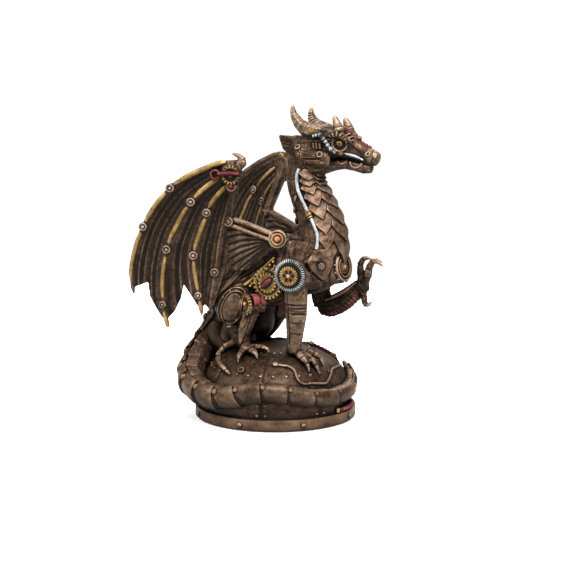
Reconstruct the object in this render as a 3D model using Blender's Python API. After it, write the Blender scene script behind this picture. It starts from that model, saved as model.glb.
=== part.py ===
"""Dragon statuette: an armoured dragon with gears in its joints, seated on a round domed plinth.

Metres, +Z up. The dragon faces +X, its left side is +Y, and the origin is the middle of the
plinth's underside. There are four pieces: the plinth, the dragon with its tail, and the two
wings, which are cast apart and set on at the shoulders.
"""
import math

import bmesh
import bpy
from mathutils import Vector

# Plinth
PLINTH_RADIUS = 0.056
RIM_HEIGHT = 0.008
RIM_BEVEL = 0.0008
BAND_SETBACK = 0.0025
BAND_TOP = 0.020
DOME_SETBACK = 0.0040
DOME_TOP = 0.0505
RIM_RIVETS = 8
RIM_RIVET_RADIUS = 0.0018
PIPE_RADIUS = 0.0012
HOSE_RADIUS = 0.0020
PLINTH_SIDES = 32

# Figure: its height is measured from the dome's crown to the tips of the horns
FIGURE_HEIGHT = 0.1665
FIGURE_PARTS = 167.0
UNIT = FIGURE_HEIGHT / FIGURE_PARTS

# Wings
MEMBRANE = 2.6 * UNIT
PIVOT_RADIUS = 6.4 * UNIT
PIVOT_THICKNESS = 4.2 * UNIT

# The gap left between pieces that touch
CLEARANCE = 0.0003
# How deep a stud or a plate is sunk into the form that carries it
SINK = 0.0012

RIGHT = -1
LEFT = 1
TURN = 2.0 * math.pi
LATERAL = Vector((0.0, 1.0, 0.0))
UP = Vector((0.0, 0.0, 1.0))


def at(x, y, z):
    """A place on the figure, in parts of its height, above the dome's crown."""
    return Vector((x * UNIT, y * UNIT, DOME_TOP + z * UNIT))


def dome_radius():
    return PLINTH_RADIUS - DOME_SETBACK


def dome_height(x, y):
    """Height of the plinth's upper surface over a point."""
    share = min(1.0, math.hypot(x, y) / dome_radius())
    return BAND_TOP + (DOME_TOP - BAND_TOP) * math.sqrt(1.0 - share * share)


def on_dome(x, y, above=0.0):
    """A place over the dome: x, y and the height above its surface in parts of the figure."""
    return Vector((x * UNIT, y * UNIT, dome_height(x * UNIT, y * UNIT) + above * UNIT))


def round_plinth(degrees, out, up):
    """A place beside the plinth: how far out from its rim and up from its band, in figure parts."""
    angle = math.radians(degrees)
    radius = PLINTH_RADIUS + out * UNIT
    return Vector((radius * math.cos(angle), radius * math.sin(angle), BAND_TOP + up * UNIT))


def clear_scene():
    for thing in list(bpy.data.objects):
        bpy.data.objects.remove(thing, do_unlink=True)


def finish_material(name, colour, metallic, roughness):
    material = bpy.data.materials.new(name)
    material.use_nodes = True
    shader = material.node_tree.nodes["Principled BSDF"]
    shader.inputs["Base Color"].default_value = (*colour, 1.0)
    shader.inputs["Metallic"].default_value = metallic
    shader.inputs["Roughness"].default_value = roughness
    return material


def closed_mesh(name, points, faces):
    """A mesh whose faces all point outwards."""
    mesh = bpy.data.meshes.new(name)
    mesh.from_pydata([tuple(point) for point in points], [], faces)
    work = bmesh.new()
    work.from_mesh(mesh)
    bmesh.ops.recalc_face_normals(work, faces=work.faces[:])
    work.to_mesh(mesh)
    work.free()
    return mesh


def as_guide(thing):
    thing.hide_render = True
    thing.display_type = "WIRE"


def guide_object(name, skin):
    guide = bpy.data.objects.new(name, closed_mesh(name, *skin))
    as_guide(guide)
    bpy.context.scene.collection.objects.link(guide)
    return guide


class Forms:
    """The overlapping forms that one cast piece is united from."""

    def __init__(self, name, label, skin):
        self.name = name
        self.guides = bpy.data.collections.new(name + " forms")
        bpy.context.scene.collection.children.link(self.guides)
        self.solid = bpy.data.objects.new(name, closed_mesh(name + " " + label, *skin))
        bpy.context.scene.collection.objects.link(self.solid)

    def add(self, label, skin):
        guide = bpy.data.objects.new(self.name + " " + label, closed_mesh(self.name + " " + label, *skin))
        as_guide(guide)
        self.guides.objects.link(guide)

    def unite(self, material, kept=1.0, cutters=()):
        """One solid from all the forms, thinned to a share of its faces before it is cut."""
        union = self.solid.modifiers.new("Forms", "BOOLEAN")
        union.operation = "UNION"
        union.solver = "EXACT"
        union.operand_type = "COLLECTION"
        union.collection = self.guides
        if kept < 1.0:
            thin = self.solid.modifiers.new("Thin", "DECIMATE")
            thin.ratio = kept
        for cutter in cutters:
            cut = self.solid.modifiers.new(cutter.name, "BOOLEAN")
            cut.operation = "DIFFERENCE"
            cut.solver = "EXACT"
            cut.object = cutter
        self.solid.data.materials.append(material)
        self.solid.data.shade_smooth()
        self.solid.data.set_sharp_from_angle(angle=math.radians(38.0))
        return self.solid


def rings_skin(rings, first_pole, last_pole):
    """Closed skin over a list of rings with the same number of points."""
    count = len(rings[0])
    points = [point for ring in rings for point in ring]
    faces = []
    for row in range(len(rings) - 1):
        for column in range(count):
            beside = (column + 1) % count
            low = row * count
            high = low + count
            faces.append((low + column, low + beside, high + beside, high + column))
    points.append(first_pole)
    points.append(last_pole)
    start = len(points) - 2
    end = len(points) - 1
    last = (len(rings) - 1) * count
    for column in range(count):
        beside = (column + 1) % count
        faces.append((start, beside, column))
        faces.append((end, last + column, last + beside))
    return points, faces


def curved(before, low, high, after, share):
    """Catmull-Rom curve between two values."""
    return 0.5 * (2.0 * low + (high - before) * share
                  + (2.0 * before - 5.0 * low + 4.0 * high - after) * share ** 2
                  + (3.0 * (low - high) + after - before) * share ** 3)


def read_curve(values, u):
    """The value at u along a smooth curve through a list, one step for each value."""
    last = len(values) - 1
    index = min(int(u), last - 1)
    return curved(values[max(index - 1, 0)], values[index], values[index + 1],
                  values[min(index + 2, last)], u - index)


class Limb:
    """A smooth form along a path of stations: a place and two half widths, across and in depth.

    across is the direction of the first half width, or a function that gives it at a place.
    """

    def __init__(self, stations, across=LATERAL):
        self.places = [station[0] for station in stations]
        self.widths = [station[1] * UNIT for station in stations]
        self.depths = [station[-1] * UNIT for station in stations]
        self.across = across
        self.length = len(stations) - 1

    def frame(self, u):
        step = 0.02
        centre = read_curve(self.places, u)
        ahead = (read_curve(self.places, min(u + step, self.length))
                 - read_curve(self.places, max(u - step, 0.0))).normalized()
        side = self.across(centre) if callable(self.across) else self.across
        side = (side - side.dot(ahead) * ahead).normalized()
        return centre, ahead, side, ahead.cross(side)

    def surface(self, u, angle, lift=0.0):
        """A point on the skin: u along the path, angle round it from the across direction."""
        centre, ahead, side, depth = self.frame(u)
        a = read_curve(self.widths, u) + lift
        b = read_curve(self.depths, u) + lift
        return centre + side * a * math.cos(angle) + depth * b * math.sin(angle)

    def skin(self, sides, rings, lift=0.0):
        """The closed skin, with its rings spread evenly along the path."""
        return self.stepped_skin(sides, [(self.length * row / (rings - 1), lift) for row in range(rings)], lift)

    def stepped_skin(self, sides, rows, lift=0.0):
        """The closed skin with a ring for each row: (u, lift), where either may turn on the angle."""
        rings = []
        for place, rise in rows:
            ring = []
            for index in range(sides):
                angle = TURN * (index + 0.5) / sides
                u = place(angle) if callable(place) else place
                height = rise(angle) if callable(rise) else rise
                ring.append(self.surface(min(max(u, 0.0), self.length), angle, height))
            rings.append(ring)
        start, ahead, side, depth = self.frame(0.0)
        end, onward, side, depth = self.frame(self.length)
        first = start - ahead * (0.4 * min(self.widths[0], self.depths[0]) + lift)
        last = end + onward * (0.4 * min(self.widths[-1], self.depths[-1]) + lift)
        return rings_skin(rings, first, last)


def tube(stations, sides, rings, across=LATERAL, lift=0.0):
    return Limb(stations, across).skin(sides, rings, lift)


def turned(profile, centre, axis, sides):
    """A form turned round an axis: profile is (radius, height) in metres from bottom to top."""
    axis = axis.normalized()
    side = axis.orthogonal().normalized()
    other = axis.cross(side)
    rings = []
    for radius, height in profile:
        rings.append([centre + axis * height + (side * math.cos(TURN * index / sides)
                                                + other * math.sin(TURN * index / sides)) * radius
                      for index in range(sides)])
    return rings_skin(rings, centre + axis * profile[0][1], centre + axis * profile[-1][1])


def wheel(profile, centre, axis, sides):
    """A turned form whose profile is in parts of the figure's height."""
    return turned([(radius * UNIT, height * UNIT) for radius, height in profile], centre, axis, sides)


def stud(centre, axis, radius, height):
    """A flat-headed stud, sunk a little into what carries it."""
    return turned([(radius, -SINK), (0.8 * radius, height)], centre, axis, 6)


def sheet_skin(top, bottom, columns, rows):
    """Closed skin over two grids of points that lie one above the other."""
    points = top + bottom
    under = len(top)
    faces = []
    for row in range(rows - 1):
        for column in range(columns - 1):
            a = row * columns + column
            b = a + 1
            c = b + columns
            d = a + columns
            faces.append((a, b, c, d))
            faces.append((under + d, under + c, under + b, under + a))
    border = list(range(columns))
    border += [row * columns + columns - 1 for row in range(1, rows)]
    border += [(rows - 1) * columns + column for column in range(columns - 2, -1, -1)]
    border += [row * columns for row in range(rows - 2, 0, -1)]
    for index, here in enumerate(border):
        beside = border[(index + 1) % len(border)]
        faces.append((here, under + here, under + beside, beside))
    return points, faces


def armour_plate(limb, along, around, lift, columns, rows):
    """A raised plate that follows a limb's skin: along and around are its two ranges."""
    top = []
    bottom = []
    for row in range(rows + 1):
        u = along[0] + (along[1] - along[0]) * row / rows
        for column in range(columns + 1):
            angle = math.radians(around[0] + (around[1] - around[0]) * column / columns)
            top.append(limb.surface(u, angle, lift))
            bottom.append(limb.surface(u, angle, -SINK))
    return sheet_skin(top, bottom, columns + 1, rows + 1)


# Plinth

def plinth_profile(grow):
    """The plinth's outline from the underside to the crown, grown outwards where asked."""
    rim = PLINTH_RADIUS + grow
    band = PLINTH_RADIUS - BAND_SETBACK + grow
    dome = dome_radius() + grow
    outline = [(rim - RIM_BEVEL, -grow), (rim, RIM_BEVEL - grow), (rim, RIM_HEIGHT - RIM_BEVEL + grow),
               (rim - RIM_BEVEL, RIM_HEIGHT + grow), (band, RIM_HEIGHT + grow), (band, BAND_TOP + grow)]
    arcs = 5
    for step in range(arcs):
        angle = 0.5 * math.pi * step / arcs
        outline.append((dome * math.cos(angle),
                        BAND_TOP + grow + (DOME_TOP - BAND_TOP) * math.sin(angle)))
    return outline


def plinth_skin(grow=0.0):
    points, faces = turned(plinth_profile(grow), Vector((0.0, 0.0, 0.0)), UP, PLINTH_SIDES)
    points[-1] = Vector((0.0, 0.0, DOME_TOP + grow))
    return points, faces


def build_plinth():
    forms = Forms("plinth", "body", plinth_skin())
    for index in range(RIM_RIVETS):
        angle = TURN * (index + 0.1) / RIM_RIVETS
        out = Vector((math.cos(angle), math.sin(angle), 0.0))
        place = out * PLINTH_RADIUS * math.cos(math.pi / PLINTH_SIDES) + UP * 0.5 * RIM_HEIGHT
        forms.add("rivet %d" % index, stud(place, out, RIM_RIVET_RADIUS, 0.5 * RIM_RIVET_RADIUS))
    route = [on_dome(15.0, -30.6), on_dome(17.0, -31.0, 1.2), on_dome(27.0, -26.5, 1.2),
             on_dome(37.4, -28.9, 1.4), on_dome(42.5, -22.5, 1.6), on_dome(46.0, -12.8, 2.0),
             on_dome(43.4, -2.6, 1.4), on_dome(42.8, 5.0, 1.2), on_dome(40.2, 15.0, 0.0)]
    forms.add("pipe", tube([(place, PIPE_RADIUS / UNIT) for place in route], 5, 13, UP))
    forms.add("pipe flange", stud(on_dome(15.0, -30.6), Vector((0.2, -0.6, 1.0)), 2.4 * PIPE_RADIUS, PIPE_RADIUS))
    for label, hose in (("upper hose", [on_dome(8, 20, -1), on_dome(14, 25.7, 0.3), on_dome(24, 28.4, 0.4),
                                        on_dome(30.5, 28.4, 0.3), on_dome(34.2, 24.5, -1)]),
                        ("lower hose", [round_plinth(-9, -3.2, -10.0), round_plinth(-2, -1.0, -9.8),
                                        round_plinth(6, -0.6, -9.4), round_plinth(13, -1.4, -8.8),
                                        round_plinth(18, -4.2, -8.4)])):
        forms.add(label, tube([(place, HOSE_RADIUS / UNIT) for place in hose], 5, 7, UP))
    forms.add("boss", stud(on_dome(-1.7, -40.6), Vector((0.0, -0.9, 1.0)), 1.9 * PIPE_RADIUS, PIPE_RADIUS))
    return forms.unite(finish_material("plinth bronze", (0.16, 0.095, 0.065), 0.6, 0.45))


# Dragon: body, neck and head

def torso_limb():
    return Limb([(at(-45, 0, 17), 9, 8), (at(-41, 0, 23), 14, 13), (at(-32, 0, 31), 18, 17),
                 (at(-16, 0, 40), 18, 19), (at(4, 0, 49), 18.5, 20.5), (at(20, 0, 56), 19.5, 21.5),
                 (at(33, 0, 60), 19.5, 21.5), (at(45, 0, 63), 15, 16), (at(51.5, 0, 65), 7, 8)])


def torso_skin(lift=0.0):
    return torso_limb().skin(12, 12, lift)


def wing_shoulder(side, lift=0.0):
    """The boss on the dragon's shoulder that the wing is set against."""
    return tube([(at(24, side * 3, 60), 11, 11), (at(17, side * 8, 68), 10, 9.5),
                 (at(12, side * 12.6, 74.5), 7.2, 7.2)], 8, 4, UP, lift)


def neck_skin():
    """The neck with rows of chevron scutes down its throat; its depth direction points back."""
    neck = Limb([(at(30, 0, 56), 17, 18), (at(36, 0, 70), 16.5, 17), (at(35, 0, 84), 14.3, 15.4),
                 (at(29.6, 0, 98), 12.4, 14), (at(24, 0, 110), 11.2, 12.8), (at(22.4, 0, 120), 10.8, 12.4),
                 (at(24, 0, 131), 10, 10.5)])
    scutes = 9
    rise = 1.7 * UNIT
    chevron = 0.16
    start = 1.1

    def front(angle):
        return max(0.0, -math.sin(angle)) ** 0.5

    def chevron_row(u):
        return lambda angle: u + chevron * front(angle) * (1.0 - 2.0 * abs(math.sin(2.0 * angle)))

    rows = [(0.0, 0.0)]
    pitch = (neck.length - 0.5 - start) / scutes
    for index in range(scutes):
        low = start + pitch * index
        rows.append((chevron_row(low), lambda angle: rise * front(angle)))
        rows.append((chevron_row(low + 0.86 * pitch), 0.0))
    rows.append((neck.length, 0.0))
    return neck.stepped_skin(12, rows)


def add_head(forms):
    forms.add("skull", tube(
        [(at(15, 0, 134), 6, 5), (at(22, 0, 137.5), 9, 8.6), (at(32, 0, 140), 11, 10.8),
         (at(42, 0, 141), 11.6, 11), (at(52, 0, 141), 10, 10.2), (at(60, 0, 138.6), 7.4, 8.2),
         (at(68, 0, 135.4), 5.8, 6.0), (at(75, 0, 133), 5.8, 5.8), (at(78.9, 0, 131.8), 4.2, 4.6)], 10, 12))
    forms.add("jaw", tube(
        [(at(25, 0, 123.6), 8.5, 6.4), (at(38, 0, 125.6), 9.6, 6.2), (at(50, 0, 128), 7, 4.2),
         (at(60, 0, 127.8), 5.8, 4.0), (at(68, 0, 126.2), 5.2, 4.4), (at(74.2, 0, 125.6), 3.8, 3.4)], 8, 7))
    for side in (RIGHT, LEFT):
        drop = 2.0 if side == LEFT else 0.0
        forms.add("horn %d" % side, tube(
            [(at(43, side * 6, 148.6), 2.2), (at(38, side * 7.5, 150.2), 4.2), (at(31.2, side * 8.8, 150.2), 5.6),
             (at(26, side * 9.9, 153), 4.7), (at(22.2 + 0.4 * drop, side * 10.8, 158 - 0.6 * drop), 3.6),
             (at(20.4 + 0.7 * drop, side * 11.2, 162.6 - drop), 2.4), (at(20.1 + drop, side * 11.4, 166.6 - 1.4 * drop), 1.1)], 6, 8))
        forms.add("brow horn %d" % side, tube(
            [(at(54.2, side * 7, 148), 3.4), (at(52.8, side * 7.4, 152.6 - 0.5 * drop), 3.0), (at(50.4, side * 7.6, 159.4 - drop), 0.8)],
            5, 4))
        forms.add("brow %d" % side, tube(
            [(at(41, side * 9, 142), 1.6), (at(45, side * 10, 147.4), 2.6), (at(52, side * 9.6, 148.6), 3.0),
             (at(59.5, side * 7.6, 144.8), 2.6), (at(63.5, side * 6.2, 139.6), 1.4)], 5, 6, UP))
        forms.add("eye %d" % side, wheel([(3.9, -3.0), (3.6, 0.8), (1.6, 2.0)],
                                         at(54.6, side * 8.2, 142), Vector((0.35, side, 0.12)), 8))
        forms.add("cheek %d" % side, tube(
            [(at(22, side * 8.6, 136), 3.0, 5.0), (at(31, side * 10.4, 133.6), 3.2, 6.4),
             (at(40, side * 10.6, 131.6), 3.0, 6.6), (at(47, side * 8.6, 130), 2.0, 4.6)], 6, 5))
    forms.add("forehead ridge", tube(
        [(at(38, 0, 149.6), 2.4), (at(50, 0, 150.8), 2.8), (at(59, 0, 147.8), 2.8), (at(64.4, 0, 142.4), 2.4),
         (at(71, 0, 139), 2.0), (at(76, 0, 136.6), 1.4)], 5, 8))
    forms.add("nape fin", tube(
        [(at(21.3, 0, 137.4), 1.9, 8.2), (at(12.7, 0, 138.4), 1.7, 8.0), (at(3.4, 0, 144.8), 0.8, 1.2)], 6, 4))


# Dragon: legs and feet

def add_toe(forms, label, root, knuckle, tip, thick):
    """One toe with its claw: up from the root over the knuckle and down to the tip."""
    nail = knuckle.lerp(tip, 0.5) + UP * 0.9 * thick * UNIT
    forms.add(label, tube([(root, thick), (knuckle, 1.05 * thick), (nail, 0.74 * thick), (tip, 0.22 * thick)],
                          5, 5, UP.cross(tip - root)))


def add_hind_leg(forms, side, pace, sag, turn, rise):
    """One hind leg: its foot stands pace behind the other one's, turned out, and its knee sags.

    rise is how high the toes stand over the dome.
    """
    def leg(x, y, z, back=0.0, low=0.0):
        return at(x - back * pace, side * y, z - low * sag)

    def foot(x, y, above):
        ahead = x + 15.0
        aside = y - 22.5
        return on_dome(-15.0 - pace + ahead * math.cos(turn) - aside * math.sin(turn),
                       side * (22.5 + ahead * math.sin(turn) + aside * math.cos(turn)), above)

    forms.add("haunch %d" % side, tube(
        [(leg(-13, 9, 52), 7, 7), (leg(-19, 13, 46), 10, 13), (leg(-23, 16, 36, 0.0, 0.2), 11.5, 15.5),
         (leg(-24.5, 18.5, 26, 0.1, 0.5), 10, 14), (leg(-24, 20, 17, 0.3, 0.7), 7, 9.5)], 10, 6))
    forms.add("thigh %d" % side, tube(
        [(leg(-22, 15, 34, 0.0, 0.3), 8.5, 9.5), (leg(-13, 18.5, 30, 0.0, 0.6), 7.7, 8.6),
         (leg(-6, 20.2, 26, 0.1, 0.9), 6, 7)], 7, 4))
    forms.add("shin %d" % side, tube(
        [(leg(-6, 20, 28, 0.1, 1.0), 5.0, 5.4), (leg(-9.2, 21.6, 18, 0.35, 0.9), 4.8, 5.2),
         (leg(-12.6, 23.2, 7, 0.7, 0.7), 4.4, 4.6), (leg(-9.5, 23.5, -0.5, 1.0, 0.6), 4.6, 4.0)], 7, 6))
    forms.add("heel %d" % side, tube(
        [(leg(-21, 20, 20, 0.4, 0.8), 4.6, 5), (leg(-21.5, 22.5, 11, 0.7, 0.8), 3.6, 4.2),
         (leg(-15, 23.5, 3.5, 1.0, 0.6), 3.8, 4.2)], 5, 4))
    forms.add("hind foot %d" % side, tube(
        [(leg(-15, 22.5, 3, 1.0, 0.6), 4, 4.4), (foot(-10, 24, 1.1 + rise), 5.4, 4.2),
         (foot(-6, 25.5, rise - 0.9), 5.4, 3.2)], 6, 4))
    spread = [("outer", (-9.5, 25.5), (-9.5, 31), (-8.5, 37.0)), ("middle", (-5.5, 26), (-0.5, 29), (4.6, 32.0)),
              ("inner", (-5, 22.5), (2, 22.8), (9.0, 22.6))]
    for label, root, knuckle, tip in spread:
        add_toe(forms, "hind toe %s %d" % (label, side), foot(*root, rise), foot(*knuckle, rise), foot(*tip, 0.2), 2.7)
    outer = Vector((-0.5, side * 0.85, 0.0))
    hub = leg(-8.0, 26.4, 28.6, 0.1, 1.0)
    forms.add("knee drum %d" % side, wheel([(5.0, -13.0), (5.2, 0.0)], hub, outer, 8))
    forms.add("knee wheel %d" % side, wheel([(7.2, -1.2), (7.2, 1.2), (5.0, 0.6), (2.2, 1.8)], hub, outer, 10))


def add_spur(forms):
    """The bent spur that comes off the right heel and rests on the dome."""
    side = RIGHT
    forms.add("spur", tube(
        [(at(-17, side * 23, 3.5), 3.0), (at(-26, side * 31, -2), 2.5), (on_dome(-23, side * 38, 5.0), 2.3),
         (on_dome(-15.5, side * 42.4, 2.6), 2.0), (on_dome(-9.5, side * 45, 0.4), 0.9)], 5, 7, UP))


def add_shoulder_wheel(forms, side):
    """The tyred wheel on the shoulder, with a gear for its hub."""
    forms.add("shoulder wheel %d" % side, wheel(
        [(9.0, -9.0), (11.3, -2.0), (11.3, 1.0), (9.6, 2.2), (6.4, 0.8), (5.8, 2.4)],
        at(26.6, side * 24.2, 53), Vector((0.10, side, 0.04)), 14))


def add_standing_foreleg(forms):
    side = RIGHT
    forms.add("foreleg", tube(
        [(at(24, side * 14, 56), 6, 9), (at(26.4, side * 17.4, 46), 6.6, 8.6), (at(26.6, side * 17.8, 38), 6.8, 8.4),
         (at(26.6, side * 17.6, 30), 7.0, 8.6), (at(26, side * 17, 22), 6.2, 7.6), (at(24.8, side * 16, 13), 5.0, 6.6),
         (at(23.4, side * 15, 4), 4.8, 5.8), (on_dome(24, side * 14.2, 3), 5.2, 5.0)], 8, 10))
    forms.add("fore foot", tube(
        [(on_dome(18, side * 12, 3), 5.0, 4.2), (on_dome(25, side * 12.4, 3.6), 6.4, 4.2),
         (on_dome(30, side * 12, 2.6), 6.2, 3.2)], 6, 4))
    spread = [("outer", (26.5, 15), (32.5, 18), (38.8, 20.6)), ("middle", (29.5, 11.6), (36, 13.4), (43.6, 15.2)),
              ("inner", (28.5, 8), (34.5, 6.4), (41.2, 5.0))]
    for label, root, knuckle, tip in spread:
        add_toe(forms, "fore toe " + label, on_dome(root[0], side * root[1], 3.4),
                on_dome(knuckle[0], side * knuckle[1], 3.8), on_dome(tip[0], side * tip[1], 0.2), 3.0)


def add_raised_foreleg(forms):
    side = LEFT
    forms.add("raised upper arm", tube(
        [(at(24, side * 14, 56), 6.4, 9), (at(24.5, side * 18, 46), 7.2, 8.4), (at(25.5, side * 18.6, 36), 6.6, 7.4),
         (at(28, side * 18.4, 26.5), 6.4, 7.4)], 8, 5))
    forms.add("raised forearm", tube(
        [(at(26.4, side * 18.4, 25), 5.6, 6.2), (at(35.8, side * 18, 26.4), 6.4, 8.0), (at(46, side * 18, 32), 6.2, 7.6),
         (at(54, side * 18, 38.2), 5.2, 6.2), (at(60, side * 18, 43.5), 6.6, 5.8)], 8, 7))
    palm = at(58.4, side * 18, 42)
    claws = [("first", 20.5, (56, 47), (56, 57.2), (59.6, 61.8), (65.4, 60.6)),
             ("second", 14.0, (63.5, 47), (65.8, 56.6), (70.4, 61.4), (76.8, 57.6)),
             ("third", 24.0, (59.5, 45), (61.4, 54.8), (65.2, 60.6), (71.2, 58.6)),
             ("thumb", 15.0, (61.6, 38), (62.0, 31.8), (64.6, 29.6), (68.2, 33.2))]
    for label, across, root, knuckle, nail, tip in claws:
        forms.add("raised claw " + label, tube(
            [(palm, 3.0), (at(root[0], side * across, root[1]), 2.9), (at(knuckle[0], side * across, knuckle[1]), 2.6),
             (at(nail[0], side * across, nail[1]), 2.1), (at(tip[0], side * across, tip[1]), 0.6)], 5, 7))


# Dragon: tail and breast

# Each station: degrees round the plinth, out from its rim, up from its band, half thickness
TAIL_LOOP = [(180, -5.0, 31.0, 9.8), (190, -1.4, 22.0, 9.6), (201, 0.8, 14.5, 9.4), (213, 2.2, 8.8, 9.2),
             (226, 2.6, 5.4, 8.8), (240, 2.0, 2.6, 8.2), (254, 0.6, 1.4, 7.6), (268, -0.6, 3.0, 7.1),
             (282, -1.0, 7.0, 6.8), (296, -1.4, 7.6, 6.4), (311, -1.6, 5.4, 6.0), (327, -1.6, 2.4, 5.6),
             (344, -1.4, 1.2, 5.4), (2, -1.6, 1.8, 5.0), (16, -2.6, 4.6, 4.2), (29, -4.4, 9.4, 3.2),
             (40, -7.4, 15.4, 1.6)]


def outwards(place):
    return Vector((place.x, place.y, 0.0)).normalized()


def tail_skin():
    """The tail in overlapping plates, each with its far edge standing proud of the next."""
    stations = [(at(-35, 0, 24), 12.0), (at(-43.5, 0, 15.5), 10.4)]
    stations += [(round_plinth(degrees, out, up), thick) for degrees, out, up, thick in TAIL_LOOP]
    tail = Limb(stations, outwards)
    plates = 15
    step = 1.0 * UNIT
    rows = [(0.0, 0.0)]
    start = 1.0
    pitch = (tail.length - 1.0 - start) / plates
    for index in range(plates):
        low = start + pitch * index
        fade = 1.0 - 0.5 * index / plates
        rows.append((low, -0.5 * step * fade))
        rows.append((low + 0.95 * pitch, step * fade))
    rows.append((tail.length - 0.9, -0.3 * step))
    rows.append((tail.length, 0.0))
    return tail.stepped_skin(8, rows)


def add_breast(forms):
    torso = torso_limb()
    forms.add("breastplate right", armour_plate(torso, (5.3, 6.9), (58.0, 178.0), 1.6 * UNIT, 4, 3))
    forms.add("breastplate left", armour_plate(torso, (5.3, 6.9), (2.0, 122.0), 1.6 * UNIT, 4, 3))
    forms.add("medallion", wheel(
        [(9.8, -8.0), (10.2, 0.0), (10.0, 1.6), (8.6, 2.4), (7.0, 1.0), (4.0, 1.2), (3.0, 3.0)],
        at(52.0, 0, 57.4), Vector((1.0, -0.05, 0.14)), 14))


def build_dragon():
    forms = Forms("dragon", "torso", torso_skin())
    forms.add("neck", neck_skin())
    forms.add("tail", tail_skin())
    add_breast(forms)
    add_head(forms)
    for side in (RIGHT, LEFT):
        forms.add("wing shoulder %d" % side, wing_shoulder(side))
        add_shoulder_wheel(forms, side)
    add_hind_leg(forms, RIGHT, 0.0, 0.0, 0.0, 3.4)
    add_hind_leg(forms, LEFT, 13.0, 10.0, math.radians(28.0), 2.0)
    add_spur(forms)
    add_standing_foreleg(forms)
    add_raised_foreleg(forms)
    seat = guide_object("plinth seat", plinth_skin(CLEARANCE))
    return forms.unite(finish_material("dragon bronze", (0.17, 0.10, 0.07), 0.6, 0.42), 0.63, [seat])


# Wings. A place on a wing is (back, high, out): back from the wrist along the fingers' plane,
# high above the dome's crown, and out from that plane, all in parts of the figure's height.

WRIST = (-9.5, 35.0)
FAN_ANGLE = math.radians(18.0)

FINGER_ONE = [(-2, 130, 0), (10.3, 128.4, 0), (22.3, 124, -0.7), (35.2, 118, -1.8), (46.6, 110.6, -3.1),
              (56, 100.6, -4.5), (63, 91, -5.6), (68.6, 80.5, -6.5), (73.4, 69, -7.4), (76.8, 55.5, -8),
              (77.6, 45, -8), (75.3, 34.5, -7.5)]
FINGER_TWO = [(-1, 127, 0), (6.2, 122.3, 0), (15.5, 116, -0.5), (24.6, 109, -1), (32.2, 101.2, -1.8),
              (38.4, 92.4, -2.6), (43.6, 83, -3.2), (48.1, 74.6, -3.7), (51.4, 63.2, -4.2), (53.4, 51, -4.5),
              (54, 39.4, -4.5), (53.3, 26.5, -4.2), (50.3, 12, -4)]
FINGER_THREE = [(0, 125, 0), (7.2, 113.5, -1), (14.4, 105.5, -2), (19.6, 98.3, -3), (23.3, 89, -3.6),
                (27.6, 77.8, -4), (30.8, 67.5, -4), (31.4, 57.4, -3.8), (29.9, 47, -3.5), (27.8, 36, -3),
                (25.7, 22, -2.5)]
FINGER_FOUR = [(0.7, 123, 0), (4.8, 110, -4), (9.4, 96.5, -8), (13.4, 81.5, -10), (16, 67.4, -10),
               (17.2, 54, -8.5), (20, 37, -6), (21, 24, -4.5)]
INNER_EDGE = [(0.5, 120, -0.5), (2.4, 108, -5.5), (6.6, 90, -11.5), (8.4, 74, -13), (9.5, 60, -12.5),
              (12.5, 49, -10.5), (15.5, 39, -8), (18, 29, -6)]
# Each finger: its curve, the half width of its rod, and the share of it that the membrane reaches.
# The last is no finger but the membrane's inner edge.
FINGERS = [(FINGER_ONE, 2.2, 0.95), (FINGER_TWO, 2.1, 0.955), (FINGER_THREE, 2.0, 0.95), (FINGER_FOUR, 1.6, 0.95),
           (INNER_EDGE, 0.0, 1.0)]
# The membrane's lines between each finger and the next: share of the way across, and where each ends
WEBS = [[(0.26, 0.90), (0.52, 0.85), (0.57, 0.92), (0.84, 0.955)], [(0.22, 0.94), (0.47, 0.89), (0.60, 0.815), (0.80, 0.885)],
        [(0.33, 0.935), (0.67, 0.945)], [(0.5, 0.98)]]
# Where the fingers are pinned: which finger, and the share of its length
FINGER_JOINTS = [(0, 0.368), (0, 0.617), (1, 0.333), (1, 0.635), (1, 0.90), (2, 0.35), (2, 0.633), (2, 0.895), (3, 0.73)]


def wing_place(side, back, high, out=0.0):
    x = WRIST[0] - back * math.cos(FAN_ANGLE) + out * math.sin(FAN_ANGLE)
    y = WRIST[1] + back * math.sin(FAN_ANGLE) + out * math.cos(FAN_ANGLE)
    return at(x, side * y, high)


def wing_out(side):
    return Vector((math.sin(FAN_ANGLE), side * math.cos(FAN_ANGLE), 0.0))


def finger_place(curve, share):
    """A place on a finger at a share of its length, with its direction across the finger."""
    u = share * (len(curve) - 1)
    back, high, out = (read_curve([point[axis] for point in curve], u) for axis in range(3))
    ahead = [read_curve([point[axis] for point in curve], min(u + 0.05, len(curve) - 1))
             - read_curve([point[axis] for point in curve], max(u - 0.05, 0.0)) for axis in range(2)]
    size = math.hypot(*ahead)
    return back, high, out, -ahead[1] / size, ahead[0] / size


def rod_place(finger, reach, across):
    """A place on a finger's rod, in wing coordinates: across is -1 and 1 at its two edges."""
    curve, width, end = finger
    back, high, out, over_back, over_high = finger_place(curve, reach)
    spread = across * width * min(1.0, 0.25 + 6.0 * reach) * (1.0 - 0.35 * reach)
    return Vector((back + spread * over_back, high + spread * over_high, out))


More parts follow.
